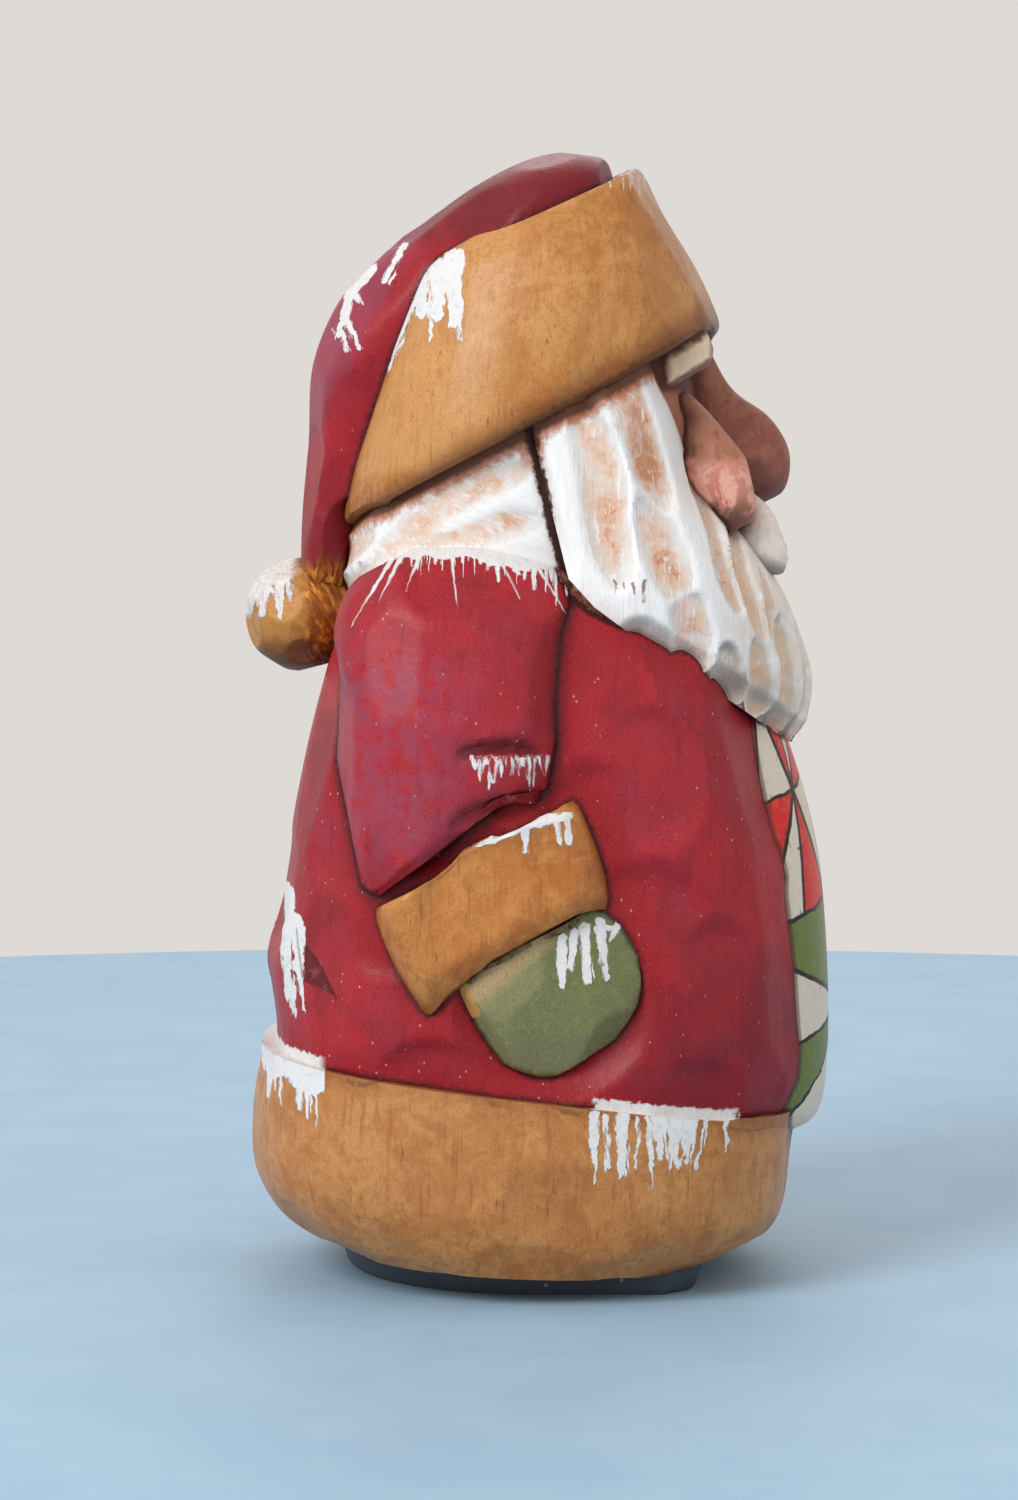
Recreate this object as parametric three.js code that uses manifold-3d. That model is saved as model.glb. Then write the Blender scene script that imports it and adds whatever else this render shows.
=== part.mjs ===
// A small Father Christmas, knife-carved from one block of wood and painted.
// He stands on his boots on the plane z = 0 and faces -Y, with his right arm towards -X.
import * as THREE from 'three';
import { mergeVertices } from 'three/addons/utils/BufferGeometryUtils.js';
import Module from 'manifold-3d';

// Driving dimensions, in millimetres.
const figureHeight = 127; // sole to the top of the hat
const bootLength = 37.4; // heel to toe
const bootsWidth = 41; // over both boots
const toeNotchWidth = 3.4; // the V between the toes
const toeNotchDepth = 9;

// Everything above the boots keeps its place as a share of the height: one unit is a hundredth of it.
const unit = figureHeight / 100;

const wasm = await Module();
wasm.setup();

// Carving helpers

// A closed three.js geometry as a solid that can be joined and cut.
function solid(geometry) {
  const bare = geometry.clone();
  bare.deleteAttribute('normal');
  bare.deleteAttribute('uv');
  const merged = mergeVertices(bare, 1e-4);
  return new wasm.Manifold(
    new wasm.Mesh({
      numProp: 3,
      vertProperties: merged.attributes.position.array,
      triVerts: new Uint32Array(merged.index.array),
    }),
  );
}

const joined = (bodies) => bodies.reduce((whole, body) => whole.add(body));

// His right side and his left one.
const bothSides = (carve) => [-1, 1].flatMap(carve);

// Points given for his left side, put on either side.
const mirrored = (points, side) => points.map(([x, y, z]) => [side * x, y, z]);

// Where a share of the half width or of the reach comes out on a squarer section. What the sine leaves over
// where a turn closes counts as nothing, so that the skin meets itself there.
const leftOver = 1e-9;
const rounded = (share, squareness) =>
  Math.abs(share) < leftOver ? 0 : Math.sign(share) * Math.abs(share) ** (2 / squareness);

// A rounded body through rings that are stacked along their own normals. Each ring is
// [centre y, centre z, lean in degrees (front edge up), half width, reach to the front, reach to the back,
// squareness], in units; squareness 2 is an ellipse and 4 a rounded block. Bow lifts the sides of the lowest
// and of the highest ring above its front and back.
function ringBody(rings, { around = 24, rows = 12, x = 0, bow = [0, 0] } = {}) {
  const knots = rings.map((_, i) => i / (rings.length - 1));
  const between = new THREE.CubicInterpolant(knots, rings.flat(), rings[0].length);
  const geometry = new THREE.CylinderGeometry(1, 1, 1, around, rows);
  const point = geometry.attributes.position;
  for (let i = 0; i < point.count; i++) {
    const [cy, cz, lean, half, front, back, square] = between.evaluate(point.getY(i) + 0.5);
    const ahead = rounded(point.getZ(i), square);
    const along = ahead * (ahead > 0 ? front : back);
    const tilt = THREE.MathUtils.degToRad(lean);
    const wall = Math.hypot(point.getX(i), point.getZ(i));
    const lift = THREE.MathUtils.lerp(bow[0], bow[1], point.getY(i) + 0.5) * wall * (1 - ahead ** 2);
    point.setXYZ(
      i,
      x + rounded(point.getX(i), square) * half,
      cy - along * Math.cos(tilt) + lift * Math.sin(tilt),
      cz + along * Math.sin(tilt) + lift * Math.cos(tilt),
    );
  }
  geometry.scale(unit, unit, unit);
  return solid(geometry);
}

// Four points down the skin of an upright ring body, between two places given as
// [z in units, degrees round from his side (0) to his front (90)].
function skinPath(rings, [highZ, highAngle], [lowZ, lowAngle], side) {
  const heights = rings.map((ring) => ring[1]);
  const section = new THREE.CubicInterpolant(heights, rings.flat(), rings[0].length);
  return [0, 1 / 3, 2 / 3, 1].map((share) => {
    const z = THREE.MathUtils.lerp(highZ, lowZ, share);
    const angle = THREE.MathUtils.degToRad(THREE.MathUtils.lerp(highAngle, lowAngle, share));
    const [cy, , , half, front, back, square] = section.evaluate(z);
    const ahead = rounded(Math.sin(angle), square);
    return [side * rounded(Math.cos(angle), square) * half, cy - ahead * (ahead > 0 ? front : back), z];
  });
}

// A spindle along a smooth curve through points, in units: a channel when it is cut away, a lock when it is
// joined. Lift moves it off the curve, away from the middle of the block. Four sides make a knife cut's V.
function spindle(points, { width, depth, lift = 0, sides = 8, steps = 6 }) {
  const curve = new THREE.CatmullRomCurve3(points.map((point) => new THREE.Vector3(...point)));
  const geometry = new THREE.SphereGeometry(1, sides, steps);
  const point = geometry.attributes.position;
  for (let i = 0; i < point.count; i++) {
    const share = (point.getY(i) + 1) / 2;
    const spot = curve.getPoint(share);
    const along = curve.getTangent(share);
    const out = new THREE.Vector3(spot.x, spot.y, 0).normalize();
    const across = new THREE.Vector3().crossVectors(along, out).normalize();
    out.crossVectors(across, along);
    spot.addScaledVector(across, (point.getX(i) * width) / 2);
    spot.addScaledVector(out, point.getZ(i) * depth + lift);
    point.setXYZ(i, spot.x, spot.y, spot.z);
  }
  geometry.scale(unit, unit, unit);
  return solid(geometry);
}

const knifeCut = (points, width, depth) => spindle(points, { width, depth, sides: 4, steps: 4 });

// A side view, [y, z] in units, sawn straight through the block.
function sawn(outline, halfWidth) {
  const shape = new THREE.Shape(outline.map(([y, z]) => new THREE.Vector2(y * unit, z * unit)));
  const geometry = new THREE.ExtrudeGeometry(shape, { depth: 2 * halfWidth * unit, bevelEnabled: false });
  geometry.translate(0, 0, -halfWidth * unit);
  geometry.applyMatrix4(new THREE.Matrix4().set(0, 0, 1, 0, 1, 0, 0, 0, 0, 1, 0, 0, 0, 0, 0, 1));
  return solid(geometry);
}

// A flattened ball, in units, tipped about X.
function ball([x, y, z], [radiusX, radiusY, radiusZ], tip = 0, sides = 12) {
  const geometry = new THREE.SphereGeometry(1, sides, sides / 2);
  geometry.scale(radiusX * unit, radiusY * unit, radiusZ * unit);
  geometry.rotateX(THREE.MathUtils.degToRad(tip));
  geometry.translate(x * unit, y * unit, z * unit);
  return solid(geometry);
}

// Clothes

const coatRings = [
  [0.5, 6, 0, 21.5, 21.5, 23, 2.5],
  [0.5, 13, 0, 22.7, 23.1, 23.5, 2.5],
  [0.5, 17.5, 0, 23.1, 24.8, 23.4, 2.5],
  [0.5, 23, 0, 23.3, 25.2, 23.3, 2.5],
  [0.5, 29, 0, 23.1, 25, 23.7, 2.5],
  [0.5, 36, 0, 22.6, 24.1, 22.2, 2.6],
  [0.5, 43, 0, 22, 22.2, 20.9, 2.7],
  [0.5, 50, 0, 21.4, 19.9, 19.4, 2.8],
  [0.5, 56, 0, 20.4, 18, 17.8, 2.7],
  [0.5, 61, 0, 18.4, 14.4, 16.2, 2.4],
  [0.5, 65, 0, 14, 10, 13, 2.2],
];

// From the fold above the cuff up to the shoulder.
const sleeveRings = [
  [6.2, 38.9, 29, 9.5, 9.6, 9.3, 3],
  [6.6, 40.8, 29, 10.3, 10.2, 10.1, 3],
  [6.8, 46, 16, 10.2, 10.4, 10.6, 2.6],
  [7, 53, 6, 9.6, 10.6, 10.6, 2.5],
  [7, 58.6, 0, 8, 11.6, 10.4, 2.4],
  [6.6, 62.4, 0, 5.6, 9.6, 8.6, 2.3],
  [6, 64.7, 0, 2.6, 4, 4.6, 2.2],
];
const sleeveX = 14.4;
const cuffBow = 1.2; // the cuff's edges arch up over the side of the forearm, and the sleeve's end with them

// The knife cuts that fold the sleeve at the elbow, from the groove in front to where they run out.
const sleeveFolds = [
  [[20.6, -1.6, 46.6], [24, 2.6, 48], [25, 7.4, 47.2]],
  [[20.8, -2.6, 42.8], [24.4, 1.4, 43.4], [25, 7.4, 41]],
];

const hemRings = [
  [1.2, 2.4, -2.1, 21.7, 18.4, 18, 2.2],
  [1.2, 4.6, -3, 23.2, 21.7, 22.1, 2.4],
  [1.2, 8, -4, 24.1, 23.6, 24.2, 2.6],
  [1.2, 12.6, -5, 24.3, 24.1, 24.4, 2.6],
  [1.2, 17.9, -6.7, 23.8, 24.6, 23.7, 2.6],
];

// Stacked along the forearm, down and forward.
const cuffRings = [
  [1.1, 29.7, 31, 8.6, 8.9, 10.5, 4.5],
  [2.3, 31.9, 31, 9.5, 9.8, 10.4, 4.8],
  [5.2, 36.9, 29, 9.4, 10.7, 9.7, 5.2],
  [6.1, 38.4, 28, 8.7, 10.6, 9.1, 5.2],
];
const cuffX = 15.4;

const mittenRings = [
  [-4.4, 20.7, 28, 3.4, 2.4, 3.2, 2.8],
  [-3.7, 22, 28, 5, 5, 5.4, 3],
  [-2.7, 24, 28, 5.8, 7.4, 7.3, 3],
  [-1.4, 26.4, 28, 6.1, 8.7, 8, 3],
  [0, 29, 28, 6.1, 8.6, 8.3, 3],
  [1.4, 31.6, 28, 5.6, 7.8, 7.8, 3],
];
const mittenX = 18;

// The hollow that the carver cut round each mitten, so that it stands free of the coat.
const mittenHollow = { place: [25, -2, 26], radii: [4.8, 11, 9.5], tip: -28 };

// The fold cut deep into the back of the coat, above the hem.
const backFold = [
  [14.6, 21.2, 31.4],
  [16.6, 19.2, 28],
  [18.6, 16.8, 24.4],
];

function coat() {
  const cut = bothSides((side) => {
    const { place, radii, tip } = mittenHollow;
    return [
      ball([side * place[0], place[1], place[2]], radii, tip, 16),
      knifeCut(mirrored(backFold, side), 2.2, 1.8),
      ...sleeveFolds.map((fold) => knifeCut(mirrored(fold, side), 3, 1.2)),
    ];
  });
  const sleeves = bothSides((side) =>
    ringBody(sleeveRings, { around: 20, rows: 11, x: side * sleeveX, bow: [cuffBow, 0] }),
  );
  return joined([ringBody(coatRings, { around: 28, rows: 13 }), ...sleeves]).subtract(joined(cut));
}

const hem = () => ringBody(hemRings, { around: 36, rows: 6 });

const cuff = (side) =>
  ringBody(cuffRings, { around: 20, rows: 4, x: side * cuffX, bow: [cuffBow, cuffBow] });

const mitten = (side) => ringBody(mittenRings, { around: 10, rows: 5, x: side * mittenX });

// The quilt that hangs down his front, from under the beard.
const quiltRings = [
  [-18, 12.4, 0, 7.6, 5.2, 3, 2.4],
  [-18, 14.4, 0, 10.8, 7.5, 3, 2.6],
  [-18, 20, 0, 12.3, 8.25, 3, 2.6],
  [-18, 29, 0, 12.4, 8.1, 3, 2.6],
  [-18, 38, 0, 11.8, 7.2, 3, 2.6],
  [-17, 46, 0, 10.6, 6.1, 3, 2.6],
  [-15, 52, 0, 9, 5.6, 3, 2.6],
];

const quiltPanel = () => ringBody(quiltRings, { around: 24, rows: 10 });

// Hair and beard

// The deep cut that parts the beard from the hair, on his left.
const beardParting = [
  [17.6, 0.4, 76],
  [18.2, -0.5, 70],
  [18.4, -2.4, 63.6],
  [17.8, -5.4, 59],
];

const hairRings = [
  [1, 57, 0, 15, 12, 15, 2.3],
  [1, 62, 0, 16.8, 14, 16.4, 2.3],
  [1, 70, 0, 17.4, 14, 15.2, 2.3],
  [1, 79, 0, 16.6, 13, 11.4, 2.3],
  [1, 88, 0, 13, 9, 8, 2.2],
];

// Gouge channels sweep back under the brim, [z, angle] where each starts and ends.
const hairChannels = [
  [[71.4, -4], [64.6, -74]],
  [[67.8, -2], [61.6, -66]],
  [[64.6, -3], [60.6, -40]],
];

function hair() {
  const channels = bothSides((side) =>
    hairChannels.map(([start, end]) =>
      spindle(skinPath(hairRings, start, end, side), { width: 3.8, depth: 1.9, lift: 1.3, sides: 6 }),
    ),
  );
  return ringBody(hairRings, { around: 24, rows: 7 }).subtract(joined(channels));
}

const beardRings = [
  [-6, 45, 0, 14, 17.2, 14, 2.1],
  [-6, 49, 0, 16.4, 18.3, 14, 2.1],
  [-6, 53, 0, 18.2, 18.8, 15, 2.1],
  [-6, 57, 0, 19.2, 17.7, 16, 2.1],
  [-6, 61, 0, 19.4, 16, 17, 2.2],
  [-6, 65, 0, 19.2, 13.2, 18, 2.3],
  [-6, 70, 0, 19, 8.8, 18, 2.4],
  [-6, 76, 0, 18.6, 6.6, 18, 2.4],
  [-6, 82, 0, 17, 4, 16, 2.4],
  [-6, 87, 0, 14, 3, 14, 2.4],
];

// The beard's back edge, sawn through from under the hat down to the tip on the chest.
const beardOutline = [
  [1.4, 86],
  [0.4, 74.2],
  [-0.6, 70],
  [-1.6, 66],
  [-2.6, 62],
  [-4.8, 59.6],
  [-8.7, 56.7],
  [-13.9, 53.3],
  [-17.9, 50.6],
  [-22.6, 47.3],
  [-32, 47],
  [-32, 86],
];

// The long channels between the locks, from under the hat or the cheeks down to the lower edge.
const beardChannels = [
  [[81, -4], [57.6, 4]],
  [[82, 14], [54.6, 22]],
  [[74, 31], [51.6, 37]],
  [[62, 46], [48.4, 50]],
  [[60.4, 64], [46.4, 64]],
  [[61.6, 82], [46, 80]],
];

// Where the last short scoops cross the lower edge, [z, angle].
const beardScoops = [
  [56, 12],
  [53, 26],
  [50, 41],
  [47.8, 57],
  [47.2, 73],
];
const scoopReach = 3.2;

function beard() {
  const block = ringBody(beardRings, { around: 30, rows: 14 }).intersect(sawn(beardOutline, 30));
  const strokes = bothSides((side) => [
    ...beardChannels.map(([start, end]) =>
      spindle(skinPath(beardRings, start, end, side), { width: 6.2, depth: 2.5, lift: 1.5 }),
    ),
    ...beardScoops.map(([z, angle]) =>
      spindle(
        skinPath(beardRings, [z + scoopReach, angle], [z - scoopReach, angle], side),
        { width: 5.2, depth: 2.5, lift: 1.6, sides: 6, steps: 4 },
      ),
    ),
  ]);
  return block.subtract(joined(strokes));
}

const headOfHair = () =>
  joined([hair(), beard()]).subtract(
    joined(bothSides((side) => knifeCut(mirrored(beardParting, side), 1.6, 1.5))),
  );

// The moustache droops from under the nose over the beard.
const moustachePath = [
  [0.8, -16.4, 70.2],
  [2.6, -19, 67.2],
  [4.6, -20.2, 64.8],
  [5.8, -21.8, 62.6],
];

const moustache = (side) =>
  spindle(mirrored(moustachePath, side), { width: 5.8, depth: 2.1, sides: 10, steps: 9 });

// Face

const faceRings = [
  [-6, 62, 0, 9, 9, 4, 2.2],
  [-6, 67, 0, 11.4, 10.4, 4, 2.3],
  [-6, 74, 0, 12.4, 9.4, 4, 2.4],
  [-6, 79, 0, 12.2, 8, 4, 2.6],
  [-6, 86, 0, 11, 7.4, 4, 2.4],
];

const noseRings = [
  [-14, 68.7, 0, 1.6, 6.4, 2, 2],
  [-14, 69.8, 0, 3.4, 8.2, 2, 2.2],
  [-14, 72, 0, 4.4, 8.8, 2, 2.2],
  [-14, 74.2, 0, 4, 8.4, 2, 2.2],
  [-14, 76.6, 0, 3, 6.7, 2, 2.2],
  [-13, 79, 0, 2.4, 4.5, 2, 2.2],
  [-12, 83, 0, 2.4, 3.2, 2, 2.2],
];

const cheekRings = [
  [-17.7, 66.4, 28, 2.2, 1.6, 1.8, 2.4],
  [-17.1, 68, 28, 3.4, 2.5, 2.9, 2.4],
  [-15.9, 71.2, 28, 3.9, 2.8, 3.6, 2.3],
  [-13.8, 75, 28, 2.8, 2.1, 3.6, 2.2],
  [-11.9, 77.8, 28, 2.1, 1.4, 2.8, 2],
];
const cheekX = 7.4;

const browRings = [
  [-12.4, 78.9, 33, 3.6, 3.3, 2.2, 4.4],
  [-12.2, 79.9, 33, 4.2, 3.9, 2.4, 4.4],
  [-11.9, 83.8, 24, 3.9, 2.6, 2.4, 4],
];
const browX = 6.4;

const eye = { place: [4.9, -13.2, 77.3], radii: [1.7, 1.2, 0.9] };

function face() {
  return joined([
    ringBody(faceRings, { around: 20, rows: 6 }),
    ringBody(noseRings, { around: 14, rows: 9 }),
    ...bothSides((side) => [
      ringBody(cheekRings, { around: 12, rows: 7, x: side * cheekX }),
      ringBody(browRings, { around: 12, rows: 3, x: side * browX }),
      ball([side * eye.place[0], eye.place[1], eye.place[2]], eye.radii),
    ]),
  ]);
}

// Hat

const brimLean = 27.4;
const brimRings = [
  [0.3, 74.9, brimLean, 18.6, 18, 18.2, 2.3],
  [0.6, 76.2, brimLean, 19.7, 19, 18.9, 2.3],
  [0.6, 82, brimLean, 19, 16.6, 17.4, 2.5],
  [0.6, 88, brimLean, 17.4, 13.4, 15, 2.7],
  [0.9, 92.6, brimLean, 15.4, 11.6, 12.4, 2.9],
  [1, 93.8, brimLean, 13.8, 10, 11, 3],
];

const brim = () => ringBody(brimRings, { around: 32, rows: 7 });

// The crown bends over backwards and narrows into the tail that hangs to the tassel ball.
const crownRings = [
  [-5.7, 94.6, 60, 7, 2.6, 2, 2],
  [-3.9, 94, 75, 10.6, 5.8, 3, 2.2],
  [0, 93, 95, 12.2, 6.3, 4, 2.3],
  [5.5, 89.5, 118, 12.2, 6.2, 5, 2.3],
  [10.5, 84.5, 138, 11.2, 7.1, 5, 2.3],
  [13.8, 79.5, 158, 9.8, 6.5, 5, 2.3],
  [15.6, 74, 172, 8, 4.9, 4, 2.3],
  [17.5, 68.5, 177, 6.2, 3.5, 3, 2.3],
  [18.9, 64, 180, 4.4, 2.3, 2.4, 2.2],
  [19.6, 60.5, 180, 3.6, 1.6, 2.4, 2],
];

const crown = () => ringBody(crownRings, { around: 20, rows: 18 });

const tassel = { place: [0, 21.2, 58.7], radii: [5, 5.1, 5.1] };

// Cut to flat facets with a knife.
function tasselBall() {
  const facets = new THREE.IcosahedronGeometry(1, 1);
  facets.scale(...tassel.radii.map((radius) => radius * unit));
  facets.translate(...tassel.place.map((middle) => middle * unit));
  return solid(facets);
}

// Boots

// From the sole up, [height in units, share of the sole's length]: the uppers stand out over the sole.
const bootEdge = [
  [0, 1],
  [0.2, 1.03],
  [0.7, 1.055],
  [2, 1.08],
  [4.73, 1.1],
];
const bootsMiddle = 1.7; // behind the middle of the coat, in units
const sideFlare = 0.3; // how much of the flare shows at the sides

// One black block below the hem, rounded behind and notched between the toes.
function boots() {
  const half = bootsWidth / 2;
  const toe = -bootLength * 0.46;
  const heelRound = bootLength * 0.54;
  const toeCorner = half * 0.14;
  const sole = new THREE.Shape();
  sole.moveTo(-toeNotchWidth / 2, toe);
  sole.lineTo(0, toe + toeNotchDepth);
  sole.lineTo(toeNotchWidth / 2, toe);
  sole.lineTo(half - toeCorner, toe);
  sole.lineTo(half, toe + toeCorner);
  sole.lineTo(half, 0);
  sole.absellipse(0, 0, half, heelRound, 0, Math.PI, false);
  sole.lineTo(-half, toe + toeCorner);
  sole.lineTo(toeCorner - half, toe);
  sole.closePath();
  const levels = bootEdge.length - 1;
  const stack = { depth: levels, steps: levels, bevelEnabled: false, curveSegments: 10 };
  const block = new THREE.ExtrudeGeometry(sole, stack);
  const point = block.attributes.position;
  const middle = toe + bootLength / 2;
  for (let i = 0; i < point.count; i++) {
    const [height, spread] = bootEdge[Math.round(point.getZ(i))];
    point.setXYZ(
      i,
      point.getX(i) * (1 + (spread - 1) * sideFlare),
      bootsMiddle * unit + (point.getY(i) - middle) * spread,
      height * unit,
    );
  }
  return solid(block);
}

const carving = joined([
  coat(),
  hem(),
  ...bothSides((side) => [cuff(side), mitten(side), moustache(side)]),
  quiltPanel(),
  headOfHair(),
  face(),
  brim(),
  crown(),
  tasselBall(),
  boots(),
]);

const { vertProperties, triVerts } = carving.getMesh();
const carved = new THREE.BufferGeometry();
carved.setAttribute('position', new THREE.BufferAttribute(vertProperties, 3));
carved.setIndex(new THREE.BufferAttribute(triVerts, 1));

const paintedWood = new THREE.MeshStandardMaterial({ color: 0x8e2433, roughness: 0.55, metalness: 0 });
const figure = new THREE.Mesh(carved, paintedWood);
figure.name = 'carved_santa';

const santa = new THREE.Group();
santa.add(figure);

export default santa;
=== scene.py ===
"""The painted finish and the fine carving of a small wooden Father Christmas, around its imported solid."""

import math
from functools import reduce

import bmesh
import bpy
import numpy as np
from mathutils import Matrix, Vector
from mathutils.bvhtree import BVHTree
from mathutils.kdtree import KDTree


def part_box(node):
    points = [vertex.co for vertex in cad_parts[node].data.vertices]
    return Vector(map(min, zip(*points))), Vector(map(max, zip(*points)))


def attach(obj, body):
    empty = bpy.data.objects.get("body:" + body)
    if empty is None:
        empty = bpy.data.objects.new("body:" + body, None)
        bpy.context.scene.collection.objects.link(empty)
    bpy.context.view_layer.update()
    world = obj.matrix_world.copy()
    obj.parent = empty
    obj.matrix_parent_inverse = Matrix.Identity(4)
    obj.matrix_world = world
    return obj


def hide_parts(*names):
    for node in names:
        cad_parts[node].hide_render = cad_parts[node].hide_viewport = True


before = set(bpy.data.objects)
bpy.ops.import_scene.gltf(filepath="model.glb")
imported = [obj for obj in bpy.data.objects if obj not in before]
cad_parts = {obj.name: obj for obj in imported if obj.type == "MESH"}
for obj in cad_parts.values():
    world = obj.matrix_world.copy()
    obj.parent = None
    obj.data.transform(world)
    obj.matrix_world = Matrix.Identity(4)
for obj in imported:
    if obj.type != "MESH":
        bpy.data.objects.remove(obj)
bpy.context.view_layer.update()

# Places and sizes are in units: one is a hundredth of the figure's height from sole to hat top.
solid_low, solid_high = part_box("carved_santa")
HAT_TOP = 100.05
UNIT = (solid_high.z - solid_low.z) / HAT_TOP
BOTH = (-1, 1)  # his right side, which faces the camera, and his left


# Skins

def between(rows, share):
    """Rows of numbers blended along smooth curves through evenly spaced knots, at shares from 0 to 1."""
    rows = np.asarray(rows, float)
    last = len(rows) - 1
    at = np.clip(share, 0, 1) * last
    first = np.minimum(at.astype(int), last - 1)
    second = first + 1
    opening, closing = first == 0, second == last
    before = rows[np.where(opening, second, first - 1)]
    after = rows[np.where(closing, first, np.minimum(second + 1, last))]
    p = (at - first)[:, None]
    pull_in = np.where(opening, -0.5, 0.5)[:, None]
    pull_out = np.where(closing, -0.5, 0.5)[:, None]
    return (
        before * (-pull_in * p**3 + 2 * pull_in * p**2 - pull_in * p)
        + rows[first] * ((1 + pull_in) * p**3 - (1.5 + 2 * pull_in) * p**2 + (pull_in - 0.5) * p + 1)
        + rows[second] * ((1.5 + pull_out) * p**2 - (1 + pull_out) * p**3 + 0.5 * p)
        + after * (pull_out * p**3 - pull_out * p**2)
    )


def tube_faces(rows, around, pointed=True):
    """The faces of a tube of rings; its ends are fans around two more points, or one flat face each."""
    index = np.arange(rows * around).reshape(rows, around)
    following = np.roll(index, -1, axis=1)
    faces = np.stack([index[:-1], following[:-1], following[1:], index[1:]], axis=-1).reshape(-1, 4).tolist()
    if not pointed:
        return faces + [index[0, ::-1].tolist(), index[-1].tolist()]
    start, end = index.size, index.size + 1
    faces += [[start, b, a] for a, b in zip(index[0].tolist(), following[0].tolist())]
    return faces + [[end, a, b] for a, b in zip(index[-1].tolist(), following[-1].tolist())]


class Form:
    """One carved form: a closed skin, in units, and at each point how deep the gouge went, how much dark
    paint the knife cut holds, and a tone that is the same all over one flat cut."""

    def __init__(self, name, points, faces):
        self.name = name
        self.points = points
        self.faces = faces
        self.hollow = np.zeros(len(points))
        self.ink = np.zeros(len(points))
        self.tone = np.full(len(points), 0.5)

    def normals(self):
        total = np.zeros_like(self.points)
        for size in (3, 4):
            corners = np.array([face for face in self.faces if len(face) == size])
            if len(corners) == 0:
                continue
            spread = self.points[corners]
            normal = np.cross(spread[:, 2] - spread[:, 0], spread[:, -1] - spread[:, 1])
            for column in corners.T:
                for axis in range(3):
                    total[:, axis] += np.bincount(column, normal[:, axis], len(total))
        return total / np.maximum(np.linalg.norm(total, axis=1), 1e-12)[:, None]

    def sink(self, depth):
        self.points = self.points - self.normals() * depth[:, None]

    def laid_on(self, path, axis, side):
        """Where a path drawn on a flat view lies on the skin, seen along the axis from one side."""
        tree = BVHTree.FromPolygons(self.points.tolist(), self.faces)
        spots = []
        for place in path:
            away, beside = (Vector(np.insert(place, axis, side * reach)) for reach in (60.0, 20.0))
            hit = tree.ray_cast(away, beside - away)[0]
            spots.append(hit or tree.find_nearest(beside)[0])
        return np.array(spots)

    def on_side(self, path, side):
        """Where a path drawn on the view from his side, [y, z], lies on the skin."""
        return self.laid_on(path, 0, side)

    def on_front(self, path, facing=-1):
        """Where a path drawn on the front view, [x, z], lies on the skin; facing 1 is the back view."""
        return self.laid_on(path, 1, facing)

    def build(self):
        mesh = bpy.data.meshes.new(self.name)
        mesh.from_pydata(self.points.tolist(), [], self.faces)
        marks = {"hollow": self.hollow, "ink": self.ink, "tone": self.tone, "kept": np.ones(len(self.points))}
        for key, values in marks.items():
            mesh.attributes.new(key, "FLOAT", "POINT").data.foreach_set("value", values)
        mesh.materials.append(bpy.data.materials.get(self.name) or bpy.data.materials.new(self.name))
        piece = bpy.data.objects.new(self.name, mesh)
        bpy.context.scene.collection.objects.link(piece)
        return piece


def ring_form(name, rings, around, rows, x=0.0, cap=5, bow=(0, 0), knife=None):
    """A rounded body through rings [centre y, centre z, lean in degrees, half width, front, back,
    squareness]. Bow lifts the sides of the lowest and of the highest ring above its front and back;
    knife is the size, depth and seed of its whittling."""
    ring = between(rings, np.linspace(0, 1, rows + 1))
    arch = np.linspace(*bow, rows + 1)[:, None]
    turn = np.arange(around) * 2 * math.pi / around
    square = ring[:, 6, None]
    circle = (np.abs(np.sin(turn)) ** square + np.abs(np.cos(turn)) ** square) ** (-1 / square)
    ahead = np.cos(turn) * circle
    along = ahead * np.where(ahead > 0, ring[:, 4, None], ring[:, 5, None])
    tilt = np.radians(ring[:, 2, None])
    lift = arch * (1 - ahead**2)
    walls = np.stack(
        [
            x + np.sin(turn) * circle * ring[:, 3, None],
            ring[:, 0, None] - along * np.cos(tilt) + lift * np.sin(tilt),
            ring[:, 1, None] + along * np.sin(tilt) + lift * np.cos(tilt),
        ],
        axis=-1,
    )
    ends = [np.array([x, ring[end, 0], ring[end, 1]]) for end in (0, -1)]
    shares = np.arange(1, cap) / cap
    bottom = [ends[0] + (walls[0] - ends[0]) * share for share in shares]
    top = [ends[1] + (walls[-1] - ends[1]) * share for share in shares[::-1]]
    grid = np.array([*bottom, *walls, *top])
    form = Form(name, np.vstack([grid.reshape(-1, 3), ends]), tube_faces(len(grid), around))
    if knife:
        whittle(form, *knife)
    return form


def closed_form(name, mesh):
    """The form of a closed bmesh, which is used up."""
    bmesh.ops.recalc_face_normals(mesh, faces=mesh.faces)
    mesh.verts.index_update()
    points = np.array([vert.co for vert in mesh.verts])
    faces = [[vert.index for vert in face.verts] for face in mesh.faces]
    mesh.free()
    return Form(name, points, faces)


def ball_form(name, place, radii, cuts, knife=None):
    """A flattened ball with evenly spread points."""
    mesh = bmesh.new()
    bmesh.ops.create_icosphere(mesh, subdivisions=cuts, radius=1)
    form = closed_form(name, mesh)
    form.points = form.points * radii + place
    if knife:
        whittle(form, *knife)
    return form


def chip_form(name, points):
    """The smallest solid around some points: what one or two knife cuts take out."""
    mesh = bmesh.new()
    for point in points:
        mesh.verts.new(point)
    bmesh.ops.convex_hull(mesh, input=mesh.verts)
    return closed_form(name, mesh)


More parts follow.
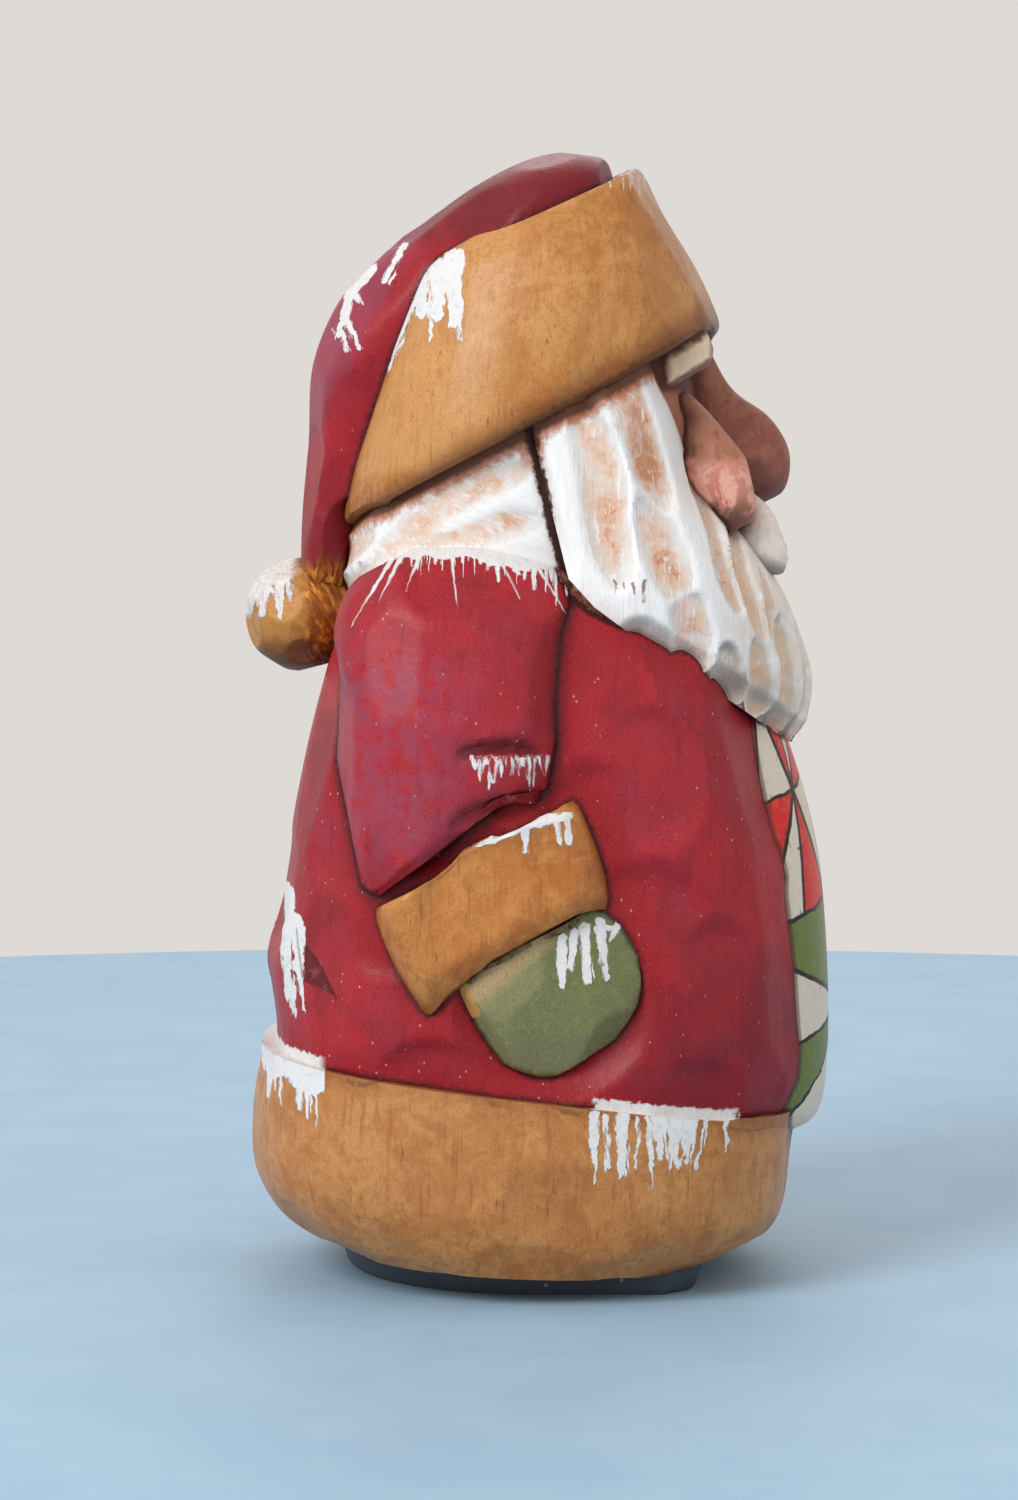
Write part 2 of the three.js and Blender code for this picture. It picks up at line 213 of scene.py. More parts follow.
def prism_form(name, outline, low, high):
    """An outline of [y, z], pushed from x = low to x = high."""
    mesh = bmesh.new()
    verts = [mesh.verts.new((x, y, z)) for x in (low, high) for y, z in outline]
    ring = list(range(len(outline)))
    over = ring[1:] + ring[:1]
    walls = [[a, b, b + len(ring), a + len(ring)] for a, b in zip(ring, over)]
    for face in [*walls, ring[::-1], [a + len(ring) for a in ring]]:
        mesh.faces.new([verts[index] for index in face])
    return closed_form(name, mesh)


# Tools

CHANNEL_STEPS = 14
KNIFE_TRIES = 6000


def channel(points, path, width, fullness=3.0, flat=2.0):
    """A gouge stroke along a path: 1 at the bottom of its channel, and 0 from its lip outwards. Flat widens
    its floor, and fullness keeps its ends wide."""
    share = np.linspace(0, 1, CHANNEL_STEPS + 1)
    line = between(path, share)
    half = width / 2 * np.sqrt(np.clip(1 - np.abs(2 * share - 1) ** fullness, 0.01, 1))
    bite = np.zeros(len(points))
    near = np.linalg.norm(points - line.mean(0), axis=1) < np.linalg.norm(line[0] - line[-1]) + width
    spots = points[near]
    best = np.zeros(len(spots))
    for start, end, wide, thin in zip(line[:-1], line[1:], half[:-1], half[1:]):
        step = end - start
        at = np.clip((spots - start) @ step / max(step @ step, 1e-9), 0, 1)
        apart = np.linalg.norm(spots - start - at[:, None] * step, axis=1)
        reach = wide + (thin - wide) * at
        np.maximum(best, (1 - (apart / reach) ** flat) * (2 * reach / width) ** 0.5, out=best)
    bite[near] = best
    return np.clip(bite, 0, 1)


def gouge(form, cuts):
    """Cuts are (path on the skin, width, depth); where they meet, the ridge between them stays."""
    depth = np.zeros(len(form.points))
    for path, width, deep in cuts:
        cut = channel(form.points, path, width, flat=2.8)
        depth = np.maximum(depth, cut * deep)
        form.hollow = np.maximum(form.hollow, cut)
    form.sink(depth)


def score(form, path, width, depth, ink):
    """A V-shaped knife cut, with ink in it."""
    cut = channel(form.points, path, width, fullness=2.0)
    form.ink = np.maximum(form.ink, ink * np.clip(cut * 1.6, 0, 1))
    form.sink(depth * (1 - np.sqrt(1 - cut)))


def point_tree(points):
    tree = KDTree(len(points))
    for index, point in enumerate(points):
        tree.insert(point, index)
    tree.balance()
    return tree


def whittle(form, size, depth, seed, spots=(), fill=True):
    """Flat knife cuts: planes laid against the skin, each taking a thin slice. Spots are more of
    them, as (place, size, depth); fill=False makes only those."""
    rng = np.random.default_rng(seed)
    points, normals = form.points, form.normals()
    places = [(np.asarray(place), wide, deep) for place, wide, deep in spots]
    if fill:
        for index in rng.permutation(len(points))[:KNIFE_TRIES]:
            spot = points[index]
            if all(np.linalg.norm(spot - place) > (size + wide) * 0.5 for place, wide, _ in places):
                places.append((spot, size, depth * rng.uniform(0.5, 1.3)))
    tree = point_tree(points)
    bite = np.zeros(len(points))
    for place, wide, deep in places:
        facing = normals[tree.find(Vector(place))[1]] + rng.normal(0, 0.05, 3)
        facing /= np.linalg.norm(facing)
        apart = np.linalg.norm(points - place, axis=1)
        near = (apart < wide * 1.7) & (normals @ facing > 0.4)
        slice_off = (points[near] - place) @ facing + deep - 0.25 * np.maximum(0, apart[near] - wide) ** 2
        cut = slice_off / (normals[near] @ facing)
        deeper = cut > bite[near]
        form.tone[np.flatnonzero(near)[deeper]] = 1 if wide != size else rng.uniform(0, 1)
        bite[near] = np.maximum(bite[near], cut)
    form.sink(bite)


def dish(form, side):
    """Makes room for the mitten: cuts the skin down to the far wall of a flattened ball."""
    centre, radii, tip = MITTEN_DISH
    turn = math.radians(-tip)
    spin = np.array([[1, 0, 0], [0, math.cos(turn), -math.sin(turn)], [0, math.sin(turn), math.cos(turn)]])
    start = (form.points - np.array(centre) * [side, 1, 1]) @ spin.T / radii
    way = -form.normals() @ spin.T / radii
    a, b, c = (way * way).sum(1), (start * way).sum(1), (start * start).sum(1) - 1
    form.sink(np.where(c < 0, (-b + np.sqrt(np.maximum(b * b - a * c, 0))) / a, 0))


def bevel(form, path, width, depth):
    """Pares the skin down towards a path drawn on the side view, [y, z]."""
    line = np.array(path, float)
    apart = np.full(len(form.points), width)
    spots = form.points[:, 1:]
    for start, end in zip(line[:-1], line[1:]):
        step = end - start
        at = np.clip((spots - start) @ step / (step @ step), 0, 1)
        np.minimum(apart, np.linalg.norm(spots - start - at[:, None] * step, axis=1), out=apart)
    form.sink(depth * (1 - apart / width))


def facets(form, facet):
    """One flat cut, [y, z] on the side view, size and depth, laid on both of his sides."""
    place, size, depth = facet
    return [(form.on_side([place], side)[0], size, depth) for side in BOTH]


def wobble(path, amount, rng):
    return [[value + rng.normal(0, amount) for value in spot] for spot in path]


# Clothes

COAT = [
    [0.5, 6, 0, 21.5, 21.5, 23, 2.5],
    [0.5, 13, 0, 22.7, 23.1, 23.5, 2.5],
    [0.5, 17.5, 0, 23.1, 24.8, 23.4, 2.5],
    [0.5, 23, 0, 23.3, 25.2, 23.3, 2.5],
    [0.5, 29, 0, 23.1, 25, 23.7, 2.5],
    [0.5, 36, 0, 22.6, 24.1, 22.2, 2.6],
    [0.5, 43, 0, 22, 22.2, 20.9, 2.7],
    [0.5, 50, 0, 21.4, 19.9, 19.4, 2.8],
    [0.5, 56, 0, 20.4, 18, 17.8, 2.7],
    [0.5, 61, 0, 18.4, 14.4, 16.2, 2.4],
    [0.5, 65, 0, 14, 10, 13, 2.2],
]
COAT_FACET = ([-9.4, 45], 4.8, 0.9)
SLEEVE = [
    [6.2, 38.9, 29, 9.5, 9.6, 9.3, 3],
    [6.6, 40.8, 29, 10.3, 10.2, 10.1, 3],
    [6.8, 46, 16, 10.2, 10.4, 10.6, 2.6],
    [7, 53, 6, 9.6, 10.6, 10.6, 2.5],
    [7, 58.6, 0, 8, 11.6, 10.4, 2.4],
    [6.6, 62.4, 0, 5.6, 9.6, 8.6, 2.3],
    [6, 64.7, 0, 2.6, 4, 4.6, 2.2],
]
SLEEVE_X = 14.4
HEM = [
    [1.2, 2.4, -2.1, 21.7, 18.4, 18, 2.2],
    [1.2, 4.6, -3, 23.2, 21.7, 22.1, 2.4],
    [1.2, 8, -4, 24.1, 23.6, 24.2, 2.6],
    [1.2, 12.6, -5, 24.3, 24.1, 24.4, 2.6],
    [1.2, 17.9, -6.7, 23.8, 24.8, 23.7, 2.6],
]
CUFF = [
    [1.1, 29.7, 31, 8.6, 8.9, 10.5, 4.5],
    [2.3, 31.9, 31, 9.5, 9.8, 10.4, 4.8],
    [5.2, 36.9, 29, 9.4, 10.7, 9.7, 5.2],
    [6.1, 38.4, 28, 8.7, 10.6, 9.1, 5.2],
]
CUFF_X = 15.4
CUFF_BOW = 1.2
MITTEN = [
    [-4.4, 20.7, 28, 3.4, 2.4, 3.2, 2.8],
    [-3.7, 22, 28, 5, 5, 5.4, 3],
    [-2.7, 24, 28, 5.8, 7.4, 7.3, 3],
    [-1.4, 26.4, 28, 6.1, 8.7, 8, 3],
    [0, 29, 28, 6.1, 8.6, 8.3, 3],
    [1.4, 31.6, 28, 5.6, 7.8, 7.8, 3],
]
MITTEN_X = 18
MITTEN_DISH = ([25, -2, 26], [4.8, 11, 9.5], -28)
# A notch behind the arm: the upper and lower end of its wall, its deepest point, and where it runs out.
BACK_NOTCH = [[13.6, 20.9, 31.8], [18.7, 17.1, 25.6], [16, 17.9, 28.9], [14.8, 20.3, 27.4]]
QUILT = [
    [-18, 12.4, 0, 7.6, 5.2, 3, 2.4],
    [-18, 14.4, 0, 10.8, 7.5, 3, 2.6],
    [-18, 20, 0, 12.3, 8.25, 3, 2.6],
    [-18, 29, 0, 12.4, 8.1, 3, 2.6],
    [-18, 38, 0, 11.8, 7.2, 3, 2.6],
    [-17, 46, 0, 10.6, 6.1, 3, 2.6],
    [-15, 52, 0, 9, 5.6, 3, 2.6],
]

# On his side view, [y, z]: the creases that fold the sleeve above the cuff.
SLEEVE_CREASE = [[7.4, 47.2], [4.6, 47.9], [1.6, 47.9], [-1.6, 46.6]]
SLEEVE_LEDGE = [[7.4, 41], [5.8, 42.1], [3.4, 43], [0.6, 43.5], [-2.6, 42.8]]


def coat():
    form = ring_form("coat", COAT, 270, 104)
    whittle(form, 7, 0.36, seed=3, spots=facets(form, COAT_FACET))
    for side in BOTH:
        dish(form, side)
    return form


def back_notch(side):
    points = np.array(BACK_NOTCH) * [side, 1, 1]
    outwards = np.array([side * 4.5, 6, 0])
    form = chip_form("coat", [*points, *(points[[0, 1, 3]] + outwards)])
    form.ink[:] = 0.8
    return form


def sleeve(side):
    form = ring_form(
        "sleeve", SLEEVE, 150, 62, x=side * SLEEVE_X, bow=(CUFF_BOW, 0), knife=(5.6, 0.36, 11 + side)
    )
    score(form, form.on_side(SLEEVE_CREASE, side), 1.8, 0.8, ink=0.8)
    score(form, form.on_side(SLEEVE_LEDGE, side), 2.6, 1.0, ink=0.4)
    dish(form, side)
    return form


def hem():
    return ring_form("hem", HEM, 300, 34, cap=8, knife=(9, 0.26, 5))


def cuff(side):
    bow = (CUFF_BOW, CUFF_BOW)
    return ring_form("cuff", CUFF, 130, 26, side * CUFF_X, cap=8, bow=bow, knife=(5, 0.3, 21 + side))


def mitten(side):
    return ring_form("mitten", MITTEN, 84, 36, side * MITTEN_X, cap=6, knife=(4.6, 0.6, 31 + side))


def quilt():
    return ring_form("quilt", QUILT, 110, 84)


# Hair and beard

HAIR = [
    [1, 57, 0, 15, 12, 15, 2.3],
    [1, 62, 0, 16.8, 14, 16.4, 2.3],
    [1, 70, 0, 17.4, 14, 15.2, 2.3],
    [1, 79, 0, 16.6, 13, 11.4, 2.3],
    [1, 88, 0, 13, 9, 8, 2.2],
]
BEARD = [
    [-6, 45, 0, 14, 17.2, 14, 2.1],
    [-6, 49, 0, 16.4, 18.3, 14, 2.1],
    [-6, 53, 0, 18.2, 18.8, 15, 2.1],
    [-6, 57, 0, 19.2, 17.7, 16, 2.1],
    [-6, 61, 0, 19.4, 16, 17, 2.2],
    [-6, 65, 0, 19.2, 13.2, 18, 2.3],
    [-6, 70, 0, 19, 8.8, 18, 2.4],
    [-6, 76, 0, 18.6, 6.6, 18, 2.4],
    [-6, 82, 0, 17, 4, 16, 2.4],
    [-6, 87, 0, 14, 3, 14, 2.4],
]
# On his side view, [y, z]: the beard's edge over the coat, and the line outside which it is cut off.
BEARD_EDGE = [[-8.7, 56.7], [-13.9, 53.3], [-17.9, 50.6], [-22.6, 47.3], [-26, 46]]
BEARD_OUTLINE = [[1.4, 86], [0.4, 74.2], [-0.6, 70], [-1.6, 66], [-2.6, 62], [-4.8, 59.6]]
BEARD_OUTLINE += [*BEARD_EDGE[:-1], [-32, 47], [-32, 86]]
PARTING = [[17.6, 0.4, 76], [18.2, -0.5, 70], [18.4, -2.4, 63.6], [17.8, -5.4, 59]]

# Gouge strokes on his side view: path of [y, z], width, depth.
HAIR_STROKES = [
    ([[0.4, 71.8], [6, 69.2], [11, 66], [15.6, 62]], 3.8, 0.34),
    ([[-0.2, 67.2], [4, 66.2], [9, 64.4], [13, 61.8]], 3.6, 0.3),
]
BACK_ROWS = (71, 67.6, 64.4, 61.4)  # heights of the strokes across the back of the hair
BEARD_STROKES = [
    ([[-3.4, 77], [-5.2, 72], [-6, 66.4], [-7.2, 61.2]], 4.8, 0.9),
    ([[-6.6, 80.4], [-8.4, 76.4], [-9.8, 72], [-11, 68]], 5.2, 0.85),
    ([[-9.4, 69], [-10.8, 64.8], [-12.4, 60.2]], 5, 0.8),
    ([[-12.8, 73], [-14.4, 68.4], [-16.2, 63], [-17.6, 59]], 3.2, 0.75),
    ([[-16.2, 68], [-17.6, 64], [-18.8, 60], [-19.8, 56.6]], 3.0, 0.7),
    ([[-19.6, 63], [-20.6, 59], [-21.4, 55.4]], 2.8, 0.6),
    ([[-12.6, 60.6], [-13.3, 57.8], [-14.1, 54.8]], 4.4, 0.8),
    ([[-16.2, 56], [-16.9, 53.4], [-17.5, 51.6]], 3.2, 0.8),
    ([[-19.2, 56.6], [-19.6, 53.4], [-19.9, 50.6]], 3.4, 0.9),
    ([[-21.8, 56.4], [-22.3, 53.8], [-22.6, 51]], 2.6, 0.7),
]
# And on the front view, [x, z], for the half that both sides share.
FRONT_STROKES = [
    ([[4.4, 57.6], [4.8, 52.6], [4.6, 47.6]], 4.2, 1.2),
    ([[0.2, 59], [0, 53], [0, 46.6]], 4.4, 1.2),
    ([[9, 58.6], [9.4, 53.6], [8.8, 48.4]], 3.8, 1.1),
]
MOUSTACHE = [[0.8, -16.4, 70.2], [2.6, -19, 67.2], [4.6, -20.2, 64.8], [5.8, -21.8, 62.6]]


def part(form):
    """The groove where hair and beard meet."""
    for side in BOTH:
        score(form, [[side * x, y, z] for x, y, z in PARTING], 2.2, 1.4, ink=0)


def hair():
    form = ring_form("hair", HAIR, 220, 56)
    rng = np.random.default_rng(41)
    cuts = []
    for side in BOTH:
        for path, width, depth in HAIR_STROKES:
            cuts.append((form.on_side(wobble(path, 0.15, rng), side), width, depth))
        for height in BACK_ROWS:
            path = [[side * 0.6, height - 4], [side * 6, height - 3.4], [side * 11, height - 1.6]]
            cuts.append((form.on_front(wobble(path, 0.2, rng), facing=1), 3.4, 0.45))
    gouge(form, cuts)
    part(form)
    return form


def beard():
    form = ring_form("beard", BEARD, 330, 110, cap=8)
    rng = np.random.default_rng(43)
    cuts = []
    for side in BOTH:
        for path, width, depth in BEARD_STROKES:
            path = path if side < 0 else wobble(path, 0.25, rng)
            cuts.append((form.on_side(path, side), width, depth))
        for path, width, depth in FRONT_STROKES:
            path = [[side * x, z] for x, z in path]
            cuts.append((form.on_front(wobble(path, 0.15, rng)), width, depth))
    gouge(form, cuts)
    bevel(form, BEARD_EDGE, 2.3, 1.2)
    part(form)
    return form


def spindle_form(name, path, width, depth):
    """A lock along a smooth path, thickest in the middle and pointed at both ends."""
    around, rows = 40, 70
    share = (1 - np.cos(np.linspace(0, math.pi, rows + 1)[1:-1])) / 2
    spots = between(path, share)
    ahead = between(path, share + 0.01) - between(path, share - 0.01)
    ahead /= np.linalg.norm(ahead, axis=1)[:, None]
    out = spots * [1, 1, 0]
    out /= np.linalg.norm(out, axis=1)[:, None]
    across = np.cross(ahead, out)
    across /= np.linalg.norm(across, axis=1)[:, None]
    out = np.cross(across, ahead)
    full = np.sqrt(np.maximum(1 - (2 * share - 1) ** 2, 0))[:, None, None]
    turn = np.arange(around) * 2 * math.pi / around
    sideways = across[:, None] * (np.cos(turn) * width / 2)[:, None]
    outwards = out[:, None] * (np.sin(turn) * depth)[:, None]
    grid = spots[:, None] + (sideways + outwards) * full
    form = Form(name, np.vstack([grid.reshape(-1, 3), path[0], path[-1]]), tube_faces(len(grid), around))
    middle = form.points.mean(0)
    if ((form.points - middle) * form.normals()).sum() < 0:
        form.faces = [face[::-1] for face in form.faces]
    return form


def moustache(side):
    path = np.array(MOUSTACHE) * [side, 1, 1]
    form = spindle_form("moustache", path, 5.8, 2.1)
    gouge(form, [(path + [0, -1.3, shift], 1.8, 0.45) for shift in (1.1, -0.6)])
    return form


# Face

FACE = [
    [-6, 62, 0, 9, 9, 4, 2.2],
    [-6, 67, 0, 11.4, 10.4, 4, 2.3],
    [-6, 74, 0, 12.4, 9.4, 4, 2.4],
    [-6, 79, 0, 12.2, 8, 4, 2.6],
    [-6, 86, 0, 11, 7.4, 4, 2.4],
]
NOSE = [
    [-14, 68.7, 0, 1.6, 6.4, 2, 2],
    [-14, 69.8, 0, 3.4, 8.2, 2, 2.2],
    [-14, 72, 0, 4.4, 8.8, 2, 2.2],
    [-14, 74.2, 0, 4, 8.4, 2, 2.2],
    [-14, 76.6, 0, 3, 6.7, 2, 2.2],
    [-13, 79, 0, 2.4, 4.5, 2, 2.2],
    [-12, 83, 0, 2.4, 3.2, 2, 2.2],
]
NOSE_FACET = ([-18.6, 70.8], 3.2, 0.35)
CHEEK = [
    [-17.7, 66.4, 28, 2.2, 1.6, 1.8, 2.4],
    [-17.1, 68, 28, 3.4, 2.5, 2.9, 2.4],
    [-15.9, 71.2, 28, 3.9, 2.8, 3.6, 2.3],
    [-13.8, 75, 28, 2.8, 2.1, 3.6, 2.2],
    [-11.9, 77.8, 28, 2.1, 1.4, 2.8, 2],
]
CHEEK_X = 7.4
BROW = [
    [-12.4, 78.9, 33, 3.6, 3.3, 2.2, 4.4],
    [-12.2, 79.9, 33, 4.2, 3.9, 2.4, 4.4],
    [-11.9, 83.8, 24, 3.9, 2.6, 2.4, 4],
]
BROW_X = 6.4
EYE = ([4.9, -13.2, 77.3], [1.7, 1.2, 0.9])


def nose():
    form = ring_form("nose", NOSE, 70, 44)
    whittle(form, 3, 0, seed=57, spots=facets(form, NOSE_FACET), fill=False)
    return form


def cheek(side):
    return ring_form("cheek", CHEEK, 56, 40, side * CHEEK_X, knife=(3, 0.16, 51 + side))


def brow(side):
    return ring_form("brow", BROW, 60, 18, side * BROW_X, knife=(3, 0.16, 53 + side))


def eye(side):
    place, radii = EYE
    return ball_form("eye", np.array(place) * [side, 1, 1], radii, cuts=4)


def face():
    forms = [ring_form("face", FACE, 90, 40), nose()]
    for side in BOTH:
        forms += [cheek(side), brow(side), eye(side)]
    return forms


# Hat

BRIM_LEAN = 27.4
BRIM = [
    [0.3, 74.9, BRIM_LEAN, 18.6, 18, 18.2, 2.3],
    [0.6, 76.2, BRIM_LEAN, 19.7, 19, 18.9, 2.3],
    [0.6, 82, BRIM_LEAN, 19, 16.6, 17.4, 2.5],
    [0.6, 88, BRIM_LEAN, 17.4, 13.4, 15, 2.7],
    [0.9, 92.6, BRIM_LEAN, 15.4, 11.6, 12.4, 2.9],
    [1, 93.8, BRIM_LEAN, 13.8, 10, 11, 3],
]
CROWN = [
    [-5.7, 94.6, 60, 7, 2.6, 2, 2],
    [-3.9, 94, 75, 10.6, 5.8, 3, 2.2],
    [0, 93, 95, 12.2, 6.3, 4, 2.3],
    [5.5, 89.5, 118, 12.2, 6.2, 5, 2.3],
    [10.5, 84.5, 138, 11.2, 7.1, 5, 2.3],
    [13.8, 79.5, 158, 9.8, 6.5, 5, 2.3],
    [15.6, 74, 172, 8, 4.9, 4, 2.3],
    [17.5, 68.5, 177, 6.2, 3.5, 3, 2.3],
    [18.9, 64, 180, 4.4, 2.3, 2.4, 2.2],
    [19.6, 60.5, 180, 3.6, 1.6, 2.4, 2],
]
TASSEL_BALL = ([0, 21.2, 58.7], [5, 5.1, 5.1])


def brim():
    return ring_form("brim", BRIM, 250, 44, cap=10, knife=(8.6, 0.3, 61))


def crown():
    return ring_form("crown", CROWN, 100, 130, knife=(5.5, 0.34, 63))


def tassel_ball():
    return ball_form("tassel", *TASSEL_BALL, cuts=6, knife=(4, 0.42, 67))


# Boots

BOOT_LENGTH = 29.45
BOOTS_HALF = 16.14
BOOTS_MIDDLE = 1.7
TOE_NOTCH = (2.68, 7.09)
BOOTS_AHEAD = 0.46  # the share of their length in front of where the heels start to round
TOE_CORNER = 0.14  # the bevel beside the toes, as a share of the half width
HEEL_STEPS = 40
SIDE_SPREAD = 0.3  # how far they spread sideways, as a share of how far they spread lengthways
# From the sole up, [height, share of the sole's length]; the last row is hidden under the hem.
BOOT_EDGE = [[0, 1], [0.2, 1.03], [0.7, 1.055], [2, 1.08], [4.73, 1.1]]


def boots():
    toe, round_heel = -BOOT_LENGTH * BOOTS_AHEAD, BOOT_LENGTH * (1 - BOOTS_AHEAD)
    corner = BOOTS_HALF * TOE_CORNER
    wide, deep = TOE_NOTCH
    right = [[wide / 2, toe], [BOOTS_HALF - corner, toe], [BOOTS_HALF, toe + corner]]
    heel = [
        [BOOTS_HALF * math.cos(math.pi * share), round_heel * math.sin(math.pi * share)]
        for share in np.linspace(0, 1, HEEL_STEPS + 1)
    ]
    left = [[-x, y] for x, y in right[::-1]]
    sole = np.array([[0, toe + deep], *right, *heel, *left])
    middle = toe + BOOT_LENGTH / 2
    layers = []
    for height, spread in BOOT_EDGE:
        across = sole[:, 0] * (1 + (spread - 1) * SIDE_SPREAD)
        along = BOOTS_MIDDLE + (sole[:, 1] - middle) * spread
        layers.append(np.stack([across, along, np.full(len(sole), height)], axis=1))
    return Form("boots", np.vstack(layers), tube_faces(len(layers), len(sole), pointed=False))


# The carving as one skin

def combine(base, others, operation):
    """The base joined with or cut by the others, one after another; each face keeps its own form's name."""
    for other in others:
        step = base.modifiers.new(other.name, "BOOLEAN")
        step.object = other
        step.operation = operation
        step.solver = "MANIFOLD"
        step.material_mode = "TRANSFER"
    whole = bpy.data.meshes.new_from_object(base.evaluated_get(bpy.context.evaluated_depsgraph_get()))
    base.modifiers.clear()
    base.data = whole
    for other in others:
        bpy.data.objects.remove(other)
    return base


def carve():
    head = beard().build()
    combine(head, [prism_form("beard", BEARD_OUTLINE, -30, 30).build()], "INTERSECT")
    body = coat().build()
    combine(body, [back_notch(side).build() for side in BOTH], "DIFFERENCE")
    forms = [hem(), quilt(), hair(), *face(), brim(), crown(), tassel_ball(), boots()]
    for side in BOTH:
        forms += [sleeve(side), cuff(side), mitten(side), moustache(side)]
    return combine(body, [head, *[form.build() for form in forms]], "UNION")


# What the brush knows about the skin

FAR = 8.0
PAINTED_OVER = [{"beard", "moustache"}, {"face", "nose"}, {"coat", "sleeve"}]
# Which pairs of forms meet along each kind of line.
MEETINGS = {
    "seam": lambda pair: pair not in PAINTED_OVER,
    "collar": lambda pair: "hair" in pair and pair & {"coat", "sleeve"},
    "groove": lambda pair: pair == {"coat", "sleeve"},
    "parting": lambda pair: pair == {"hair", "beard"},
    "chin": lambda pair: "beard" in pair and pair & {"coat", "sleeve"},
}


def read(items, key, width=1, kind=float):
    """One property of many mesh elements, as an array."""
    values = np.zeros(len(items) * width, kind)
    items.foreach_get(key, values)
    return values.reshape(-1, width) if width > 1 else values


def distance_from(edges, points):
    """How far each point is from the nearest of the edges, up to FAR; edges are pairs of ends."""
    shares = np.linspace(0, 1, 5)[None, :, None]
    spots = (edges[:, 0, None] * (1 - shares) + edges[:, 1, None] * shares).reshape(-1, 3)
    tree = point_tree(spots)
    return np.array([min(tree.find(point)[2], FAR) for point in points])


def mark(piece):
    """Writes, at each point, the distance from the lines where forms meet, the bend of the skin, and what
    the tools left."""
    mesh = piece.data
    names = [material.name for material in mesh.materials]
    points, normals = read(mesh.vertices, "co", 3), read(mesh.vertices, "normal", 3)
    ends = read(mesh.edges, "vertices", 2, int)
    both_ways = (ends.T, ends.T[::-1])
    loop_edge = read(mesh.loops, "edge_index", kind=int)
    loop_form = np.repeat(
        read(mesh.polygons, "material_index", kind=int), read(mesh.polygons, "loop_total", kind=int)
    )
    least, most = np.full(len(ends), len(names)), np.full(len(ends), -1)
    np.minimum.at(least, loop_edge, loop_form)
    np.maximum.at(most, loop_edge, loop_form)

    def from_meeting(wanted):
        order = range(len(names))
        pairs = {(a, b) for a in order for b in order if a < b and wanted({names[a], names[b]})}
        chosen = np.array([pair in pairs for pair in zip(least, most)])
        return distance_from(points[ends[chosen]], points)

    rise, reach = np.zeros(len(points)), np.full(len(points), 1e-9)
    for here, there in both_ways:
        step = points[there] - points[here]
        rise += np.bincount(here, (normals[here] * step).sum(1), len(points))
        reach += np.bincount(here, (step * step).sum(1), len(points))

    def soften(values, trusted, rounds):
        """Fills points that aren't trusted from their neighbours, then evens all of them out."""
        values, trusted = values.copy(), trusted.astype(float)
        for _ in range(rounds):
            total, weight = values * trusted, trusted.copy()
            for here, there in both_ways:
                total += np.bincount(here, (values * trusted)[there], len(values))
                weight += np.bincount(here, trusted[there], len(values))
            values = np.where(weight > 0, total / np.maximum(weight, 1e-9), values)
            trusted = np.maximum(trusted, (weight > 0).astype(float))
        return values

    tools = {key: read(mesh.attributes[key].data, "value") for key in ("hollow", "ink", "tone", "kept")}
    kept = tools.pop("kept") > 0.5
    fields = {key: np.where(kept, values, soften(values, kept, 1)) for key, values in tools.items()}
    fields["bend"] = soften(rise / reach, np.ones(len(points), bool), 2)
    fields.update({key: from_meeting(wanted) for key, wanted in MEETINGS.items()})
    for key in [*tools, "kept"]:
        mesh.attributes.remove(mesh.attributes[key])
    for key, values in fields.items():
        mesh.attributes.new(key, "FLOAT", "POINT").data.foreach_set("value", values)


# Paint

def linear(code):
    """A colour code such as 9c2c37, as the linear numbers that a shader takes."""
    parts = [int(code[i:i + 2], 16) / 255 for i in (0, 2, 4)]
    return (*(part / 12.92 if part < 0.04045 else ((part + 0.055) / 1.055) ** 2.4 for part in parts), 1)


def operator(operation):
    """A method of Signal that makes one step of arithmetic."""
    return lambda self, *others: self.paint.math(operation, self, *others)


class Signal:
    """A number that changes over the skin, so that a finish can be written as sums and products."""

    def __init__(self, paint, socket):
        self.paint = paint
        self.socket = socket

    __add__ = __radd__ = operator("ADD")
    __sub__ = operator("SUBTRACT")
    __mul__ = __rmul__ = operator("MULTIPLY")
    __truediv__ = operator("DIVIDE")
    __pow__ = operator("POWER")
    __abs__ = operator("ABSOLUTE")
    most = operator("MAXIMUM")
    least = operator("MINIMUM")
    floor = operator("FLOOR")
    fraction = operator("FRACT")

    def __rsub__(self, other):
        return self.paint.math("SUBTRACT", other, self)

    def root(self):
        return self.paint.math("SQRT", self.most(0))

    def fade(self, start, end):
        """0 at start and before it, 1 at end and beyond, in either direction."""
        node = self.paint.node("MapRange", {0: self, 1: start, 2: end}, interpolation_type="SMOOTHSTEP")
        return Signal(self.paint, node.outputs[0])


def highest(*signals):
    return reduce(Signal.most, signals)


def window(signal, start, end, soft=1.0):
    """1 between start and end, with soft ends."""
    return signal.fade(start - soft / 2, start + soft / 2) * signal.fade(end + soft / 2, end - soft / 2)


